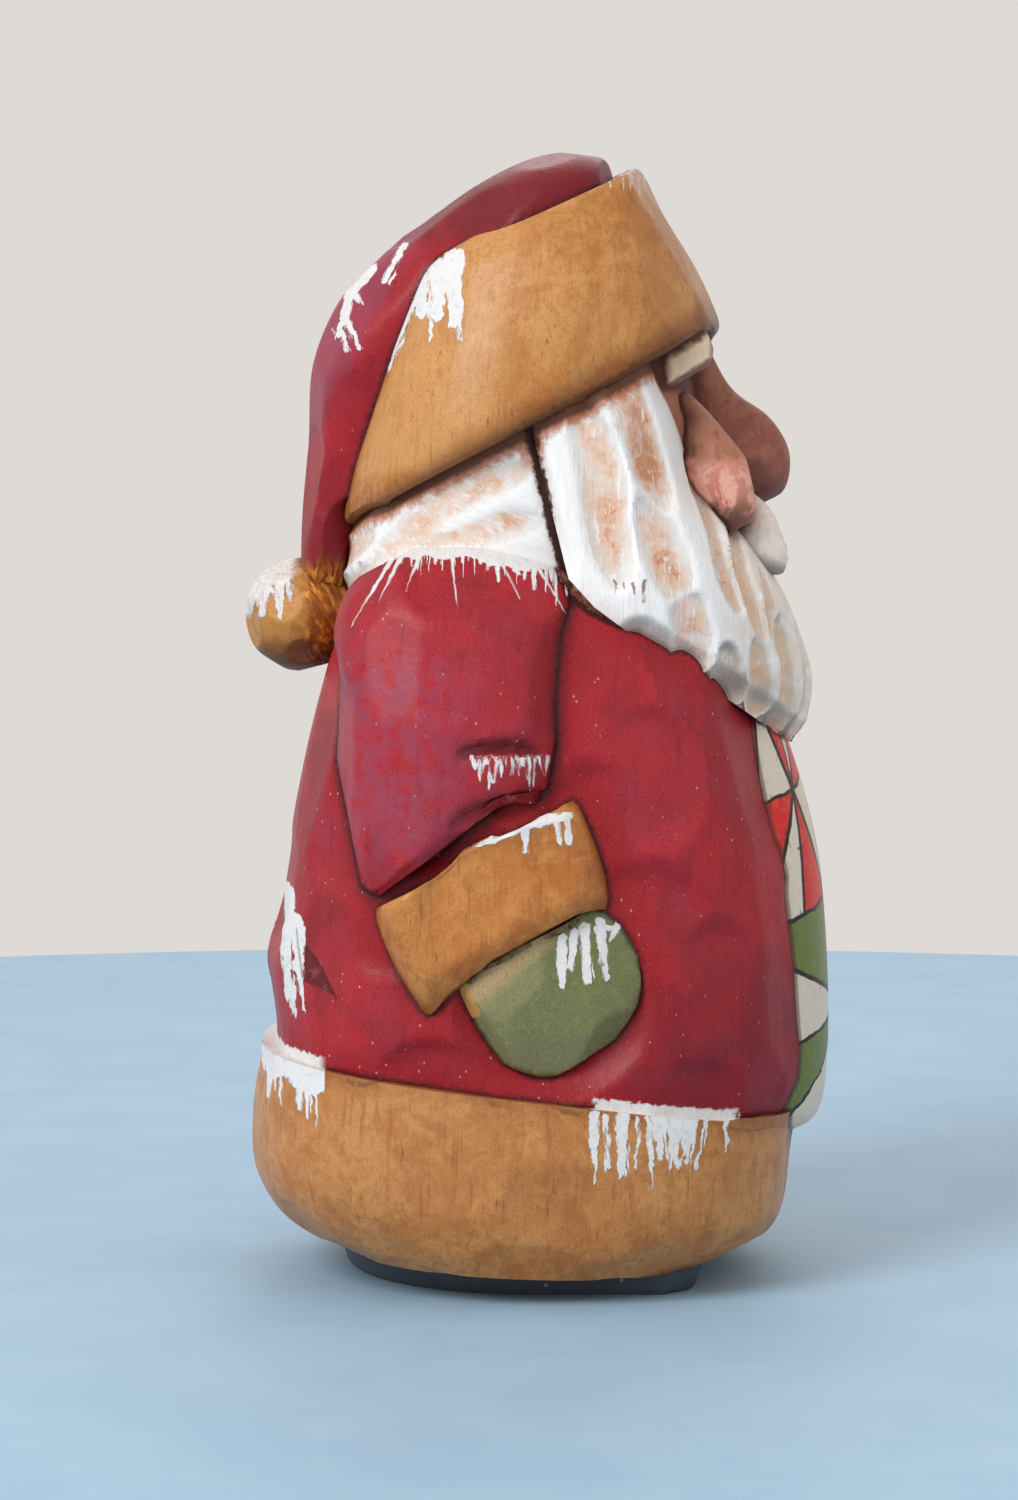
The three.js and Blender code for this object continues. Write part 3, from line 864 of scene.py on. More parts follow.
class Paint:
    """A finish that is laid on coat by coat; its patterns are in units, in the part's own frame."""

    def __init__(self, name, ground, rough, seed=0.0):
        self.material = bpy.data.materials.new(name)
        self.material.use_nodes = True
        self.tree = self.material.node_tree
        self.shader = self.tree.nodes["Principled BSDF"]
        self.shader.inputs["Specular IOR Level"].default_value = 0.3
        self.seed = seed
        place = self.node("TexCoord").outputs["Object"]
        self.place = self.node("VectorMath", {0: place, 3: 1 / UNIT}, operation="SCALE").outputs[0]
        parts = self.node("SeparateXYZ", {0: self.place}).outputs
        self.x, self.y, self.z = (Signal(self, part) for part in parts)
        self.colour = linear(ground)
        self.rough = rough
        self.height = None

    def feed(self, node, inputs):
        for key, value in inputs.items():
            value = value.socket if isinstance(value, Signal) else value
            if isinstance(value, bpy.types.NodeSocket):
                self.tree.links.new(value, node.inputs[key])
            else:
                node.inputs[key].default_value = value

    def node(self, kind, inputs=(), **settings):
        node = self.tree.nodes.new("ShaderNode" + kind)
        for key, value in settings.items():
            setattr(node, key, value)
        self.feed(node, dict(inputs))
        return node

    def math(self, operation, *values):
        return Signal(self, self.node("Math", dict(enumerate(values)), operation=operation).outputs[0])

    def attributes(self, *names):
        """What mark() wrote at each point, under each of the names."""
        return [Signal(self, self.node("Attribute", attribute_name=name).outputs["Fac"]) for name in names]

    def facing(self):
        """How far the skin faces up, from -1 to 1."""
        normal = self.node("NewGeometry").outputs["Normal"]
        return Signal(self, self.node("SeparateXYZ", {0: normal}).outputs[2])

    def spread(self, stretch, tilt, shift):
        """The place, turned about X by tilt degrees, then squeezed along each axis."""
        place = self.place
        if tilt:
            turn = {0: place, 3: math.radians(tilt)}
            place = self.node("VectorRotate", turn, rotation_type="X_AXIS").outputs[0]
        place = self.node("VectorMath", {0: place, 1: stretch}, operation="MULTIPLY").outputs[0]
        shift = (self.seed + shift, self.seed * 2 - shift, shift * 3)
        return self.node("VectorMath", {0: place, 1: shift}, operation="ADD").outputs[0]

    def noise(self, size, detail=3.0, rough=0.55, stretch=(1, 1, 1), tilt=0.0, shift=0.0, warp=0.0):
        inputs = {"Vector": self.spread(stretch, tilt, shift), "Scale": 1 / size, "Detail": detail}
        inputs.update({"Roughness": rough, "Distortion": warp})
        return Signal(self, self.node("TexNoise", inputs).outputs[0])

    def grain(self, size, detail=3.0, length=10.0, tilt=0.0, shift=0.0):
        """Streaks along the wood's upright grain, or tilted from it."""
        return self.noise(size, detail, 0.6, (1, 1, 1 / length), tilt, shift)

    def cells(self, size, stretch=(1, 1, 1)):
        """(distance from the middle of a cell, a random number for the cell)."""
        node = self.node("TexVoronoi", {"Vector": self.spread(stretch, 0, 0.0), "Scale": 1 / size})
        chance = self.node("SeparateColor", {0: node.outputs["Color"]}).outputs[0]
        return Signal(self, node.outputs["Distance"]), Signal(self, chance)

    def chance(self, index, seed):
        """A random number from 0 to 1 for each whole number."""
        node = self.node("TexWhiteNoise", {"W": index + (seed + self.seed)}, noise_dimensions="1D")
        return Signal(self, node.outputs["Value"])

    def cover(self, mask, code):
        """A thin coat of another colour where the mask is 1."""
        node = self.node("Mix", {0: mask, 6: self.colour, 7: linear(code)}, data_type="RGBA")
        self.colour = node.outputs[2]

    def gloss(self, mask, rough):
        """Another roughness where the mask is 1."""
        self.rough = self.rough + mask * (rough - self.rough)

    def varnish(self, weight, rough):
        self.shader.inputs["Coat Weight"].default_value = weight
        self.shader.inputs["Coat Roughness"].default_value = rough

    def raise_up(self, signal, millimetres):
        step = signal * millimetres
        self.height = step if self.height is None else self.height + step

    def done(self):
        inputs = {"Base Color": self.colour, "Roughness": self.rough}
        if self.height is not None:
            bump = self.node("Bump", {"Height": self.height, "Distance": 0.001, "Strength": 1.0})
            inputs["Normal"] = bump.outputs[0]
        self.feed(self.shader, inputs)
        return self.material


# Snow

DRIP_SIZES = (1.9, 1.1, 0.6)


def drips(paint, across, below, length, wide=1.0, cap=0.8, seed=0.0):
    """Snow that lies along an edge and runs down from it; across is a place along the edge, and below is
    how far under the edge."""
    ragged = paint.noise(0.45, 4, 0.7, shift=seed + 3) - 0.5
    uneven = paint.noise(2.4, 2, shift=seed + 6)
    across = across + (paint.noise(1.4, 3, shift=seed) - 0.5) * wide
    mask = (uneven * cap * 2 - below + ragged * 0.9).fade(-0.1, 0.12)
    for layer, size in enumerate(DRIP_SIZES):
        place = across / (size * wide)
        chance = paint.chance(place.floor(), seed + layer * 17.0)
        run = length * (chance ** 1.5 * 0.92 + 0.06) + 0.01
        left = 1 - below / run
        half = left.root() * 0.3 + 0.08
        middle = abs(place.fraction() - 0.5)
        mask = mask.most((half - middle + ragged * 0.3).fade(-0.04, 0.1) * left.fade(0, 0.05))
    bristles = paint.grain(0.3, 3, 5, shift=seed + 8)
    dry = (bristles + 0.5 - (below / (length + 0.5)).least(1) * 0.42).fade(0.42, 0.56)
    return mask * dry * length.fade(0.15, 0.6) * (below + ragged).fade(-0.3, -0.1)


def strokes(paint, marks, dry=1.0, wander=0.7, taper=0.35):
    """Brush strokes on the side view, as (y and z of the start, y and z of the end, width). Dry is how far
    the bristles part, most of all at the end."""
    y = paint.y + (paint.noise(0.8, 3, shift=21) - 0.5) * wander
    z = paint.z + (paint.noise(0.8, 3, shift=24) - 0.5) * wander
    made = []
    for number, (start_y, start_z, end_y, end_z, width) in enumerate(marks):
        step_y, step_z = end_y - start_y, end_z - start_z
        long = math.hypot(step_y, step_z)
        from_y, from_z = y - start_y, z - start_z
        along = (from_y * step_y + from_z * step_z) / long
        across = (from_y * step_z - from_z * step_y) / long
        past = (along - long).most(along * -1).most(0)
        apart = (across * across + past * past).root()
        share = (along / long).most(0).least(1)
        place = paint.node("CombineXYZ", {0: across * 3.2, 1: along * 0.35, 2: number * 5.0}).outputs[0]
        hairs = paint.node("TexNoise", {"Vector": place, "Scale": 1, "Detail": 2}).outputs[0]
        bristle = Signal(paint, hairs) - 0.5
        made.append((1 - share * taper) * (width / 2) - apart + bristle * (share * 1.6 + 0.4) * dry)
    return highest(*made).fade(-0.05, 0.09)


def snow(paint, mask):
    """Thick white paint where the mask is 1."""
    clots = paint.noise(0.7, 4, 0.65, shift=9)
    paint.cover(mask, "dddbda")
    paint.cover(mask * clots.fade(0.5, 0.72) * 0.6, "bdbbbe")
    paint.gloss(mask, 0.62)
    paint.raise_up(mask * (clots * 0.6 + 0.5), 0.13)


# Finishes

def crimson(name, seed, details):
    """Dark red; details paints what is special to one form and says where its snow lies."""
    paint = Paint(name, "98222c", 0.46, seed)
    seam, bend, ink, groove, tone = paint.attributes("seam", "bend", "ink", "groove", "tone")
    patches = paint.noise(10, 3, warp=0.5)
    streaks = paint.grain(0.7, 4, 9, shift=2)
    stipple = paint.noise(0.45, 4, 0.7, shift=4)
    canvas = paint.noise(0.2, 2, 0.6, shift=18)
    paint.cover(patches.fade(0.42, 0.62) * 0.8, "b0222b")
    paint.cover(paint.noise(7, 4, shift=6).fade(0.5, 0.68) * 0.4, "97384c")
    paint.cover((paint.noise(6, 3, shift=8) + streaks * 0.3).fade(0.68, 0.9) * 0.55, "6c1720")
    paint.cover(tone.fade(0.5, 1) * 0.3, "b32c38")
    paint.cover(tone.fade(0.5, 0) * 0.35, "761823")
    paint.cover(streaks.fade(0.55, 0.8) * 0.25, "b4303b")
    paint.cover(streaks.fade(0.45, 0.28) * 0.35, "63101a")
    paint.cover((seam.least(groove) + patches * 3).fade(5.4, 2) * 0.6, "960a17")
    paint.cover(canvas.fade(0.48, 0.28) * 0.45, "530c14")
    paint.cover(canvas.fade(0.56, 0.74) * 0.3, "bd404b")
    # Painted shade: a wide dark band in the groove between coat and sleeve; the narrow dark lines that follow
    # are the paint in the seams and the groove.
    paint.cover((groove + stipple * 1.4).fade(2.1, 0.8) * 0.75, "530a12")
    paint.cover((seam + stipple * 1.1).fade(1.2, 0.5) * 0.85, "360c10")
    paint.cover((groove + stipple * 0.8).fade(0.9, 0.4) * 0.85, "2c0a0d")
    paint.cover((ink + stipple * 0.5).fade(0.3, 1.1) * 0.8, "4a0c14")
    # Lighter paint on the ridges: wear, and a painted highlight along them.
    wear_and_highlight = bend.fade(-0.12, -0.3) * paint.noise(1.2, 4, shift=12).fade(0.45, 0.65)
    paint.cover(wear_and_highlight * 0.45, "b8675c")
    spot, chance = paint.cells(0.7, (1, 1, 0.7))
    specks = spot.fade(0.16, 0.07) * chance.fade(0.62, 0.68) * paint.noise(5, 2, shift=27).fade(0.4, 0.6)
    paint.cover(specks * 0.75, "dba598")
    paint.gloss(stipple.fade(0.4, 0.7), 0.38)
    paint.raise_up(streaks, 0.09)
    paint.raise_up(stipple, 0.05)
    paint.raise_up(paint.noise(3.5, 2, shift=15), 0.16)
    paint.raise_up(specks, 0.04)
    snow(paint, details(paint))
    paint.shader.inputs["Specular IOR Level"].default_value = 0.22
    paint.varnish(0.06, 0.25)
    return paint.done()


def fur(name, seed, colours, wash, snow_mask, slip=0.0):
    """Tan paint rubbed back with a brown glaze. The colours are ground, light and glaze; wash says how
    strong the glaze is, and slip how clearly a stray knife line shows beside the seam."""
    ground, light, glaze = colours
    paint = Paint(name, ground, 0.46, seed)
    seam, bend, ink, tone = paint.attributes("seam", "bend", "ink", "tone")
    cloud = paint.noise(5, 5, 0.6, warp=0.5)
    fine = paint.noise(0.9, 5, 0.65, shift=3, warp=0.4)
    rings = paint.noise(2.4, 5, 0.65, (1, 0.8, 0.8), shift=8, warp=1.2)
    streaks = paint.grain(0.5, 4, 12, shift=5)
    canvas = paint.noise(0.2, 2, 0.6, shift=18)
    paint.cover(cloud.fade(0.42, 0.62) * 0.7, light)
    # Painted light: the brim turns lighter towards his back, the side the daylight comes from.
    paint.cover(paint.y.fade(-4, 10) * paint.z.fade(70, 72) * 0.75, light)
    paint.cover((fine * 0.6 + cloud * 0.4).fade(0.5, 0.66) * (0.2 + 0.3 * wash), glaze)
    paint.cover(rings.fade(0.5, 0.62) * 0.5 * wash, light)
    paint.cover(rings.fade(0.5, 0.38) * 0.3 * wash, glaze)
    paint.cover(tone.fade(0.5, 1) * 0.3, light)
    paint.cover(tone.fade(0.5, 0) * 0.3, glaze)
    paint.cover(streaks.fade(0.48, 0.3) * (0.2 + 0.35 * wash), glaze)
    paint.cover(canvas.fade(0.5, 0.3) * 0.35, glaze)
    paint.cover(canvas.fade(0.56, 0.74) * 0.25, light)
    pores = paint.grain(0.2, 2, 12, shift=11).fade(0.36, 0.26) * paint.noise(3, 2, shift=13).fade(0.54, 0.66)
    paint.cover(pores * 0.5, "6b3e1c")
    paint.cover((seam + fine * 3).fade(3.8, 1.6) * 0.7, "82481c")
    paint.cover((seam + fine * 0.9).fade(0.95, 0.5) * 0.9, "331b0e")
    if slip:
        line = window(seam + (cloud - 0.5) * 0.8, 1.15, 1.3, 0.08)
        paint.cover(line * fine.fade(0.44, 0.52) * slip, "5a3317")
    paint.cover((ink + fine * 0.5).fade(0.4, 0.9), "3a2113")
    # Lighter paint on the ridges: wear, and a painted highlight along them.
    wear_and_highlight = bend.fade(-0.1, -0.3) * fine.fade(0.4, 0.6) * seam.fade(0.6, 1.4)
    paint.cover(wear_and_highlight * 0.55, light)
    paint.gloss(cloud.fade(0.35, 0.7), 0.34)
    paint.raise_up(streaks, 0.08)
    paint.raise_up(pores, -0.08)
    paint.raise_up(fine, 0.06)
    paint.raise_up(paint.noise(3, 2, shift=17), 0.14)
    snow(paint, snow_mask(paint))
    paint.varnish(0.15, 0.22)
    return paint.done()


def white_hair(name, seed, tilt=0.0, amount=1.0):
    """White brushed over an orange-brown wash that stays in the hollows."""
    paint = Paint(name, "e3deda", 0.55, seed)
    seam, bend, hollow, parting, ink = paint.attributes("seam", "bend", "hollow", "parting", "ink")
    (collar,) = paint.attributes("collar")
    brush = paint.grain(0.4, 4, 9, tilt, shift=2)
    mottle = paint.noise(0.8, 5, 0.7, shift=4, warp=0.4)
    stain = paint.noise(2.6, 4, 0.6, shift=16, warp=1.0)
    paint.cover(paint.noise(5, 3, shift=6).fade(0.42, 0.6) * 0.5, "d3c2b0")
    # Creamier towards the front: the cream of the paint, and painted shade on the side turned from the
    # daylight.
    paint.cover(paint.y.fade(-12, -20) * 0.4, "d2b491")
    beside_face = window(paint.z, 70, 79, 3) * paint.y.fade(-7, -8.6) * (hollow * 0.7 + 0.5)
    wash = hollow * 0.45 * amount + stain * 0.9 + (mottle - 0.5) * 0.35 + beside_face * 0.22
    paint.cover(wash.fade(0.66, 0.98) * 0.75, "e2b08e")
    paint.cover((wash + (brush - 0.5) * 0.5).fade(0.9, 1.1) * 0.8, "c2794c")
    paint.cover((brush + mottle * 0.6).fade(0.86, 0.98) * 0.75, "eeebe9")
    paint.cover((hollow + (stain - 0.5) * 0.9).fade(0.42, 0.18) * 0.8, "eceae9")
    paint.cover(bend.fade(0.02, -0.08) * brush.fade(0.3, 0.55) * 0.9, "f1efef")
    # More cream towards the front: paint, and painted shade on the side turned from the daylight.
    paint.cover(paint.y.fade(-14, -21) * stain.fade(0.3, 0.6) * 0.5, "dcbf9f")
    facing = paint.facing()
    # Painted shade: greyer where the hair faces down, as on the under-cut lower edges of the beard.
    paint.cover(facing.fade(-0.1, -0.5) * 0.7, "a8a199")
    paint.cover(facing.fade(-0.35, -0.8) * 0.6, "857d76")
    clear = collar.fade(0.5, 1.4)
    # Along the seams: an orange-brown band of wash and a dark line. Under the brim both are stronger, which
    # is painted shadow of the brim.
    under_brim = (paint.z + paint.y * 0.52).fade(71, 73.5)
    near = seam - under_brim * 0.5
    paint.cover((near + mottle * 2).fade(2.5, 1.4) * clear * (0.25 + under_brim * 0.65), "b5673a")
    paint.cover((near + mottle * 0.8).fade(0.95, 0.5) * clear * (0.4 + under_brim * 0.4), "4a281c")
    paint.cover((parting + mottle * 1.2).fade(1.5, 1.15), "3c1c13")
    paint.cover((ink + mottle * 0.5).fade(0.55, 0.85), "3c1c13")
    ticks = [
        (-6.5, 61.8, -6.7, 61, 0.3), (-7.3, 61.6, -7.45, 61, 0.22), (-8.0, 61.6, -8.1, 60.7, 0.26),
        (-9.1, 61.8, -8.9, 60.2, 0.4),
    ]
    paint.cover(strokes(paint, ticks, 0.6) * 0.8, "6b3a28")
    paint.raise_up(brush, 0.13)
    paint.raise_up(mottle, 0.05)
    return paint.done()


def skin(name, seed, ground, brim_shade_depth=0.85):
    """Brown skin paint. Its last argument is how dark the painted shade is where the face lies under the
    brim.
    """
    paint = Paint(name, ground, 0.52, seed)
    seam, bend = paint.attributes("seam", "bend")
    mottle = paint.noise(1.6, 4, shift=2, warp=0.5)
    streaks = paint.grain(0.6, 4, 5, shift=5)
    paint.cover(mottle.fade(0.42, 0.62) * 0.6, "a56a52")
    paint.cover(streaks.fade(0.5, 0.3) * 0.5, "6b3a31")
    # Painted shade: darker red-brown in a wide band along the seams, where the forms meet in a hollow.
    paint.cover((seam + mottle * 2.4).fade(3.2, 1) * 0.85, "57281f")
    paint.cover(seam.fade(0.5, 0.2) * 0.8, "33150e")
    # Painted shade where the face lies under the brim.
    hidden = window(paint.z, 74.6, 80, 2) * paint.y.fade(-16, -13.4)
    paint.cover(hidden * brim_shade_depth, "571f1b")
    # Painted shade where the skin faces down.
    paint.cover(paint.facing().fade(-0.05, -0.5) * 0.6, "5c3a39")
    # Lighter paint on the ridges: a painted highlight, and wear.
    paint.cover(bend.fade(-0.1, -0.3) * mottle.fade(0.4, 0.6) * 0.2, "b07a5a")
    paint.raise_up(streaks, 0.08)
    paint.raise_up(mottle, 0.08)
    return paint


def face_skin():
    """The cheek's colour runs back to the hair; the rest lies in the brim's shade."""
    paint = skin("face_paint", 1.0, "8f5444")
    paint.cover(paint.y.fade(-13.9, -13.1) * window(paint.z, 66, 78.2, 1) * 0.85, "a86e55")
    return paint.done()


def cheek_skin():
    paint = skin("cheek_paint", 3.0, "b3775c", 0.2)
    (seam,) = paint.attributes("seam")
    blush = paint.noise(1.6, 3, shift=15)
    low = window(paint.z + (blush - 0.5) * 5, 68.4, 72, 1.6) * paint.y.fade(-19.8, -18.4)
    paint.cover(low * 0.8, "d98e7e")
    paint.cover(low * blush.fade(0.46, 0.56) * 0.7, "f2b9a6")
    paint.cover(strokes(paint, [(-15.6, 70.6, -16.4, 68.6, 0.4)], 1.6) * 0.6, "c9453c")
    paint.cover((seam + blush * 0.6).fade(0.9, 0.5) * 0.7, "4a1f16")
    return paint.done()


def brow_paint():
    paint = Paint("brow_paint", "f8dab4", 0.5, 4.0)
    (seam,) = paint.attributes("seam")
    mottle = paint.noise(1.2, 4, shift=2)
    paint.cover(mottle.fade(0.4, 0.6) * 0.5, "e0cfbd")
    paint.cover((paint.y + mottle * 0.5).fade(-14.5, -15.1) * 0.8, "7a4638")
    paint.cover((paint.z + paint.y * 0.586 + mottle * 0.9).fade(73.1, 72.6) * 0.85, "6a382c")
    paint.cover((seam + mottle * 1.4).fade(1.7, 0.8), "6a382c")
    # Dark red-brown where the brow faces down: painted shade, over the red-brown paint there.
    paint.cover(paint.facing().fade(-0.5, -0.75) * 0.8, "6a382c")
    paint.raise_up(paint.grain(0.4, 3, 6), 0.1)
    return paint.done()


def olive():
    paint = Paint("olive", "74744c", 0.5, 5.0)
    seam, bend, tone = paint.attributes("seam", "bend", "tone")
    fine = paint.noise(0.7, 5, 0.65, shift=3)
    canvas = paint.noise(0.2, 2, 0.6, shift=18)
    paint.cover(paint.noise(4.5, 2, shift=5).fade(0.4, 0.6) * 0.6, "7a8054")
    paint.cover(tone.fade(0.4, 1) * 0.5, "8c875f")
    paint.cover(tone.fade(0.5, 0) * 0.5, "636b3a")
    paint.cover(window(paint.z + paint.y * 0.9, 30.5, 60, 2.4) * 0.8, "b8986c")
    paint.cover(fine.fade(0.5, 0.7) * 0.35, "948d68")
    paint.cover(canvas.fade(0.5, 0.3) * 0.4, "3d4420")
    paint.cover((seam + fine).fade(1.1, 0.45) * 0.85, "2a2212")
    # Lighter paint on the ridges: a painted highlight, and wear.
    paint.cover(bend.fade(-0.1, -0.3) * fine.fade(0.42, 0.6) * 0.6, "9c8f5f")
    paint.cover(strokes(paint, [(6.4, 27.2, 5.4, 25.4, 1.5)], 0.4), "c08f52")
    paint.raise_up(paint.grain(0.5, 3, 8), 0.08)
    paint.raise_up(fine, 0.05)
    marks = [
        (-2.0, 31.6, -2.0, 27.9, 1.0), (-3.1, 32.3, -2.7, 29.4, 0.8), (-3.9, 32.6, -4.2, 28.3, 1.0),
        (-5.2, 33, -5.7, 28.4, 0.95), (-5.0, 32.6, -6.6, 32.4, 0.7), (-6.9, 33, -6.1, 31.4, 0.7),
    ]
    snow(paint, strokes(paint, marks, 0.7))
    return paint.done()


def gold():
    paint = Paint("gold", "a56a2e", 0.4, 6.0)
    seam, tone = paint.attributes("seam", "tone")
    fine = paint.noise(0.5, 4, 0.7, shift=2)
    broad = paint.noise(2.2, 3, shift=4, warp=1.0)
    brush = paint.grain(0.5, 4, 4, 30, shift=7)
    inner = (paint.y + (broad - 0.5) * 2.4).fade(21.4, 20)
    paint.cover(broad.fade(0.4, 0.6) * 0.6, "c28a4a")
    paint.cover(tone.fade(0.5, 1) * 0.4, "cb9a5c")
    paint.cover(inner * 0.85, "8a4315")
    paint.cover(inner * brush.fade(0.44, 0.6) * 0.9, "cc7f22")
    paint.cover(inner * brush.fade(0.6, 0.7) * 0.8, "eeb964")
    # Painted shade where the ball faces down.
    paint.cover(paint.facing().fade(-0.35, -0.8) * 0.8, "4f1d0e")
    paint.cover((seam + fine).fade(1.0, 0.4) * 0.8, "2e150b")
    paint.gloss(inner, 0.28)
    paint.raise_up(fine, 0.1)
    paint.raise_up(brush * inner, 0.3)
    rough = fine - 0.5
    cap = (paint.z * 0.8 + paint.y * 0.6 + rough * 2 + (broad - 0.5) * 2.4).fade(62.5, 63)
    runs = [(22.9, 62.2, 22.9, 58.6, 1.0), (24.2, 61.2, 24.6, 58.8, 1.0), (22, 62, 21.9, 60, 0.8)]
    made = cap.most(strokes(paint, runs, 0.8)) * (paint.y + rough * 2).fade(21.4, 22)
    snow(paint, made * (0.6 + brush.fade(0.3, 0.6) * 0.4))
    paint.shader.inputs["Metallic"].default_value = 0.1
    return paint.done()


def black():
    paint = Paint("black", "464c55", 0.42, 7.0)
    fine = paint.noise(0.8, 4, shift=2)
    spot, chance = paint.cells(1.8)
    paint.cover(fine.fade(0.5, 0.7) * 0.5, "454b52")
    paint.cover(spot.fade(0.12, 0.07) * chance.fade(0.7, 0.74) * 0.8, "93a0aa")
    paint.raise_up(paint.grain(0.6, 3, 8), 0.07)
    paint.raise_up(fine, 0.05)
    return paint.done()


BLOCK_HEIGHT, BLOCK_START = 22, 34.9  # a block's height, and where the upper blocks begin
SMALL_BLOCK, LARGE_BLOCK = 0.28, 0.94  # half widths, as shares of the way round to the quilt's side edge
QUILT_REACH = 19  # the way round to that edge
QUILT_RADII = (12.3, 8)
QUILT_TURN = 104  # degrees from the quilt's middle line to its side edge


def patchwork():
    """Pinwheel blocks in thin stitched outlines, red and cream above, green and cream below."""
    paint = Paint("patchwork", "dccfbe", 0.45, 8.0)
    fine = paint.noise(0.6, 4, shift=2)
    drift = (paint.noise(2.5, 2, shift=4) - 0.5) * 0.8
    turn = paint.math("ARCTAN2", paint.x / QUILT_RADII[0], (QUILT[0][0] - paint.y) / QUILT_RADII[1])
    around = abs(turn) * (180 / math.pi / QUILT_TURN)
    up = (paint.z + around * 5 + drift - BLOCK_START) / BLOCK_HEIGHT
    upper = up.fade(-0.001, 0.001)
    lower = 1 - upper
    across = upper * ((around - 0.2) / (SMALL_BLOCK * 2)) + lower * (around / (LARGE_BLOCK * 2) + 0.5)
    a = (across + drift * 0.03).fraction() * 2 - 1
    b = up.fraction() * 2 - 1
    sector = (paint.math("ARCTAN2", b, a) / (math.pi / 4) + 8).floor()
    coloured = (sector / 2).fraction().fade(0.2, 0.3)
    paint.cover(coloured * lower, "6c783a")
    paint.cover(coloured * upper, "d8201d")
    paint.cover(fine.fade(0.5, 0.7) * 0.2, "a8967e")
    tall = BLOCK_HEIGHT / 2
    wide = upper * (SMALL_BLOCK * QUILT_REACH) + lower * (LARGE_BLOCK * QUILT_REACH)
    slant = upper * 3.6 + lower * 9.4
    edges = [
        (abs(a) * wide, b),
        (abs(b) * tall, a),
        ((1 - abs(a)) * wide, b),
        ((1 - abs(b)) * tall, a),
        (abs(a - b) * slant, a + b),
        (abs(a + b) * slant, a - b),
    ]
    lines, ticks = [], []
    for gap, along in edges:
        stitch = abs((along * 1.7 + 0.3).fraction() - 0.5) * tall / 1.7
        lines.append((gap + (fine - 0.5) * 0.16).fade(0.26, 0.14))
        ticks.append(stitch.fade(0.14, 0.06) * gap.fade(0.6, 0.48))
    paint.cover(highest(*lines, highest(*ticks) * 0.85), "1f1d18")
    (seam,) = paint.attributes("seam")
    paint.cover(seam.fade(0.5, 0.2) * 0.7, "4a2a1c")
    paint.raise_up(fine, 0.04)
    paint.raise_up(paint.grain(0.7, 2, 8), 0.05)
    paint.varnish(0.15, 0.25)
    return paint.done()


def brim_snow(paint):
    """A brown glaze along the lower edge, where the dark shows through; the mask is the snow."""
    height = paint.z + paint.y * 0.58 + (paint.noise(0.9, 5, 0.65, shift=3, warp=0.4) - 0.5) * 1.6
    paint.cover(height.fade(78.6, 75.8) * 0.75, "74401b")
    paint.cover(height.fade(76.0, 75.4) * 0.5, "331b0e")
    paint.shader.inputs["Specular IOR Level"].default_value = 0.18
    marks = [
        (10.2, 88, 10, 84.8, 1.7), (8.7, 88.8, 8.6, 84.8, 1.9), (7.2, 89.6, 7.1, 84, 1.9),
        (9.5, 85.6, 9.3, 82.4, 0.4), (6.8, 85, 6.7, 82.4, 0.4), (10.9, 85.8, 12.9, 80.4, 0.8),
    ]
    front = drips(paint, paint.y, 98.4 - paint.z, window(paint.y, -10.4, -5.2, 1) * 4, 0.6, 0.9, 4.0)
    front = front * paint.grain(0.4, 3, 6, shift=31).fade(0.4, 0.6) * 0.8
    return front.most(strokes(paint, marks))


def hem_snow(paint):
    marks = [
        (-4.7, 16.8, -4.8, 10.8, 0.9), (-5.7, 16.6, -5.9, 12.6, 0.6), (-7.2, 16.6, -7.1, 11.8, 1.3),
        (-8.4, 16.4, -8.2, 12.4, 0.4), (-9.3, 16.4, -9.7, 10.6, 0.6), (-10.4, 16.6, -10.5, 13.2, 1.7),
        (-11.7, 16.4, -11.5, 12.4, 1.9), (-13, 16.2, -12.6, 12.6, 1.7), (-14.4, 16.2, -13.5, 12, 0.5),
        (-16.2, 16, -16.1, 13.2, 0.7),
    ]
    (seam,) = paint.attributes("seam")
    ragged = paint.noise(0.5, 3)
    band = (seam + ragged * 0.8).fade(1.1, 0.85) * window(paint.y + ragged * 2 - 1, -17.2, -4.4, 0.6)
    back = drips(paint, paint.y, seam, window(paint.y, 18.6, 27, 1) * 5.6, 0.8, 2.3, 3.0)
    return highest(band, strokes(paint, marks, 1.2, taper=0.6), back) * paint.z.fade(9, 11)


def cuff_snow(paint):
    marks = [
        (1.2, 41.4, 5, 39.7, 1.0), (1.2, 41.4, -2.4, 42.2, 1.1), (1.1, 41.6, 1.1, 39.2, 0.9),
        (-1.5, 42, -1.7, 39.8, 0.5), (-2.3, 42, -2.6, 39.9, 0.7),
    ]
    return strokes(paint, marks, 0.6)


def beside_beard(paint):
    """A tan strip with a dark crack at its edge, all along the beard; the mask is where it lies."""
    stipple = paint.noise(0.45, 4, 0.7, shift=4)
    (chin,) = paint.attributes("chin")
    chin = chin + stipple * 0.5 + (paint.y * -1 - 1).most(0) * 0.22
    near = window(paint.y, -6.6, 1.6, 2)
    strip = chin.fade(1.75, 1.5) * near
    paint.cover(strip, "b07a64")
    paint.cover(strip * (stipple + chin * 0.12).fade(0.5, 0.66) * 0.8, "5a2419")
    paint.cover(window(chin, 1.45, 1.95, 0.3) * near * 0.9, "2a0c0d")
    return strip


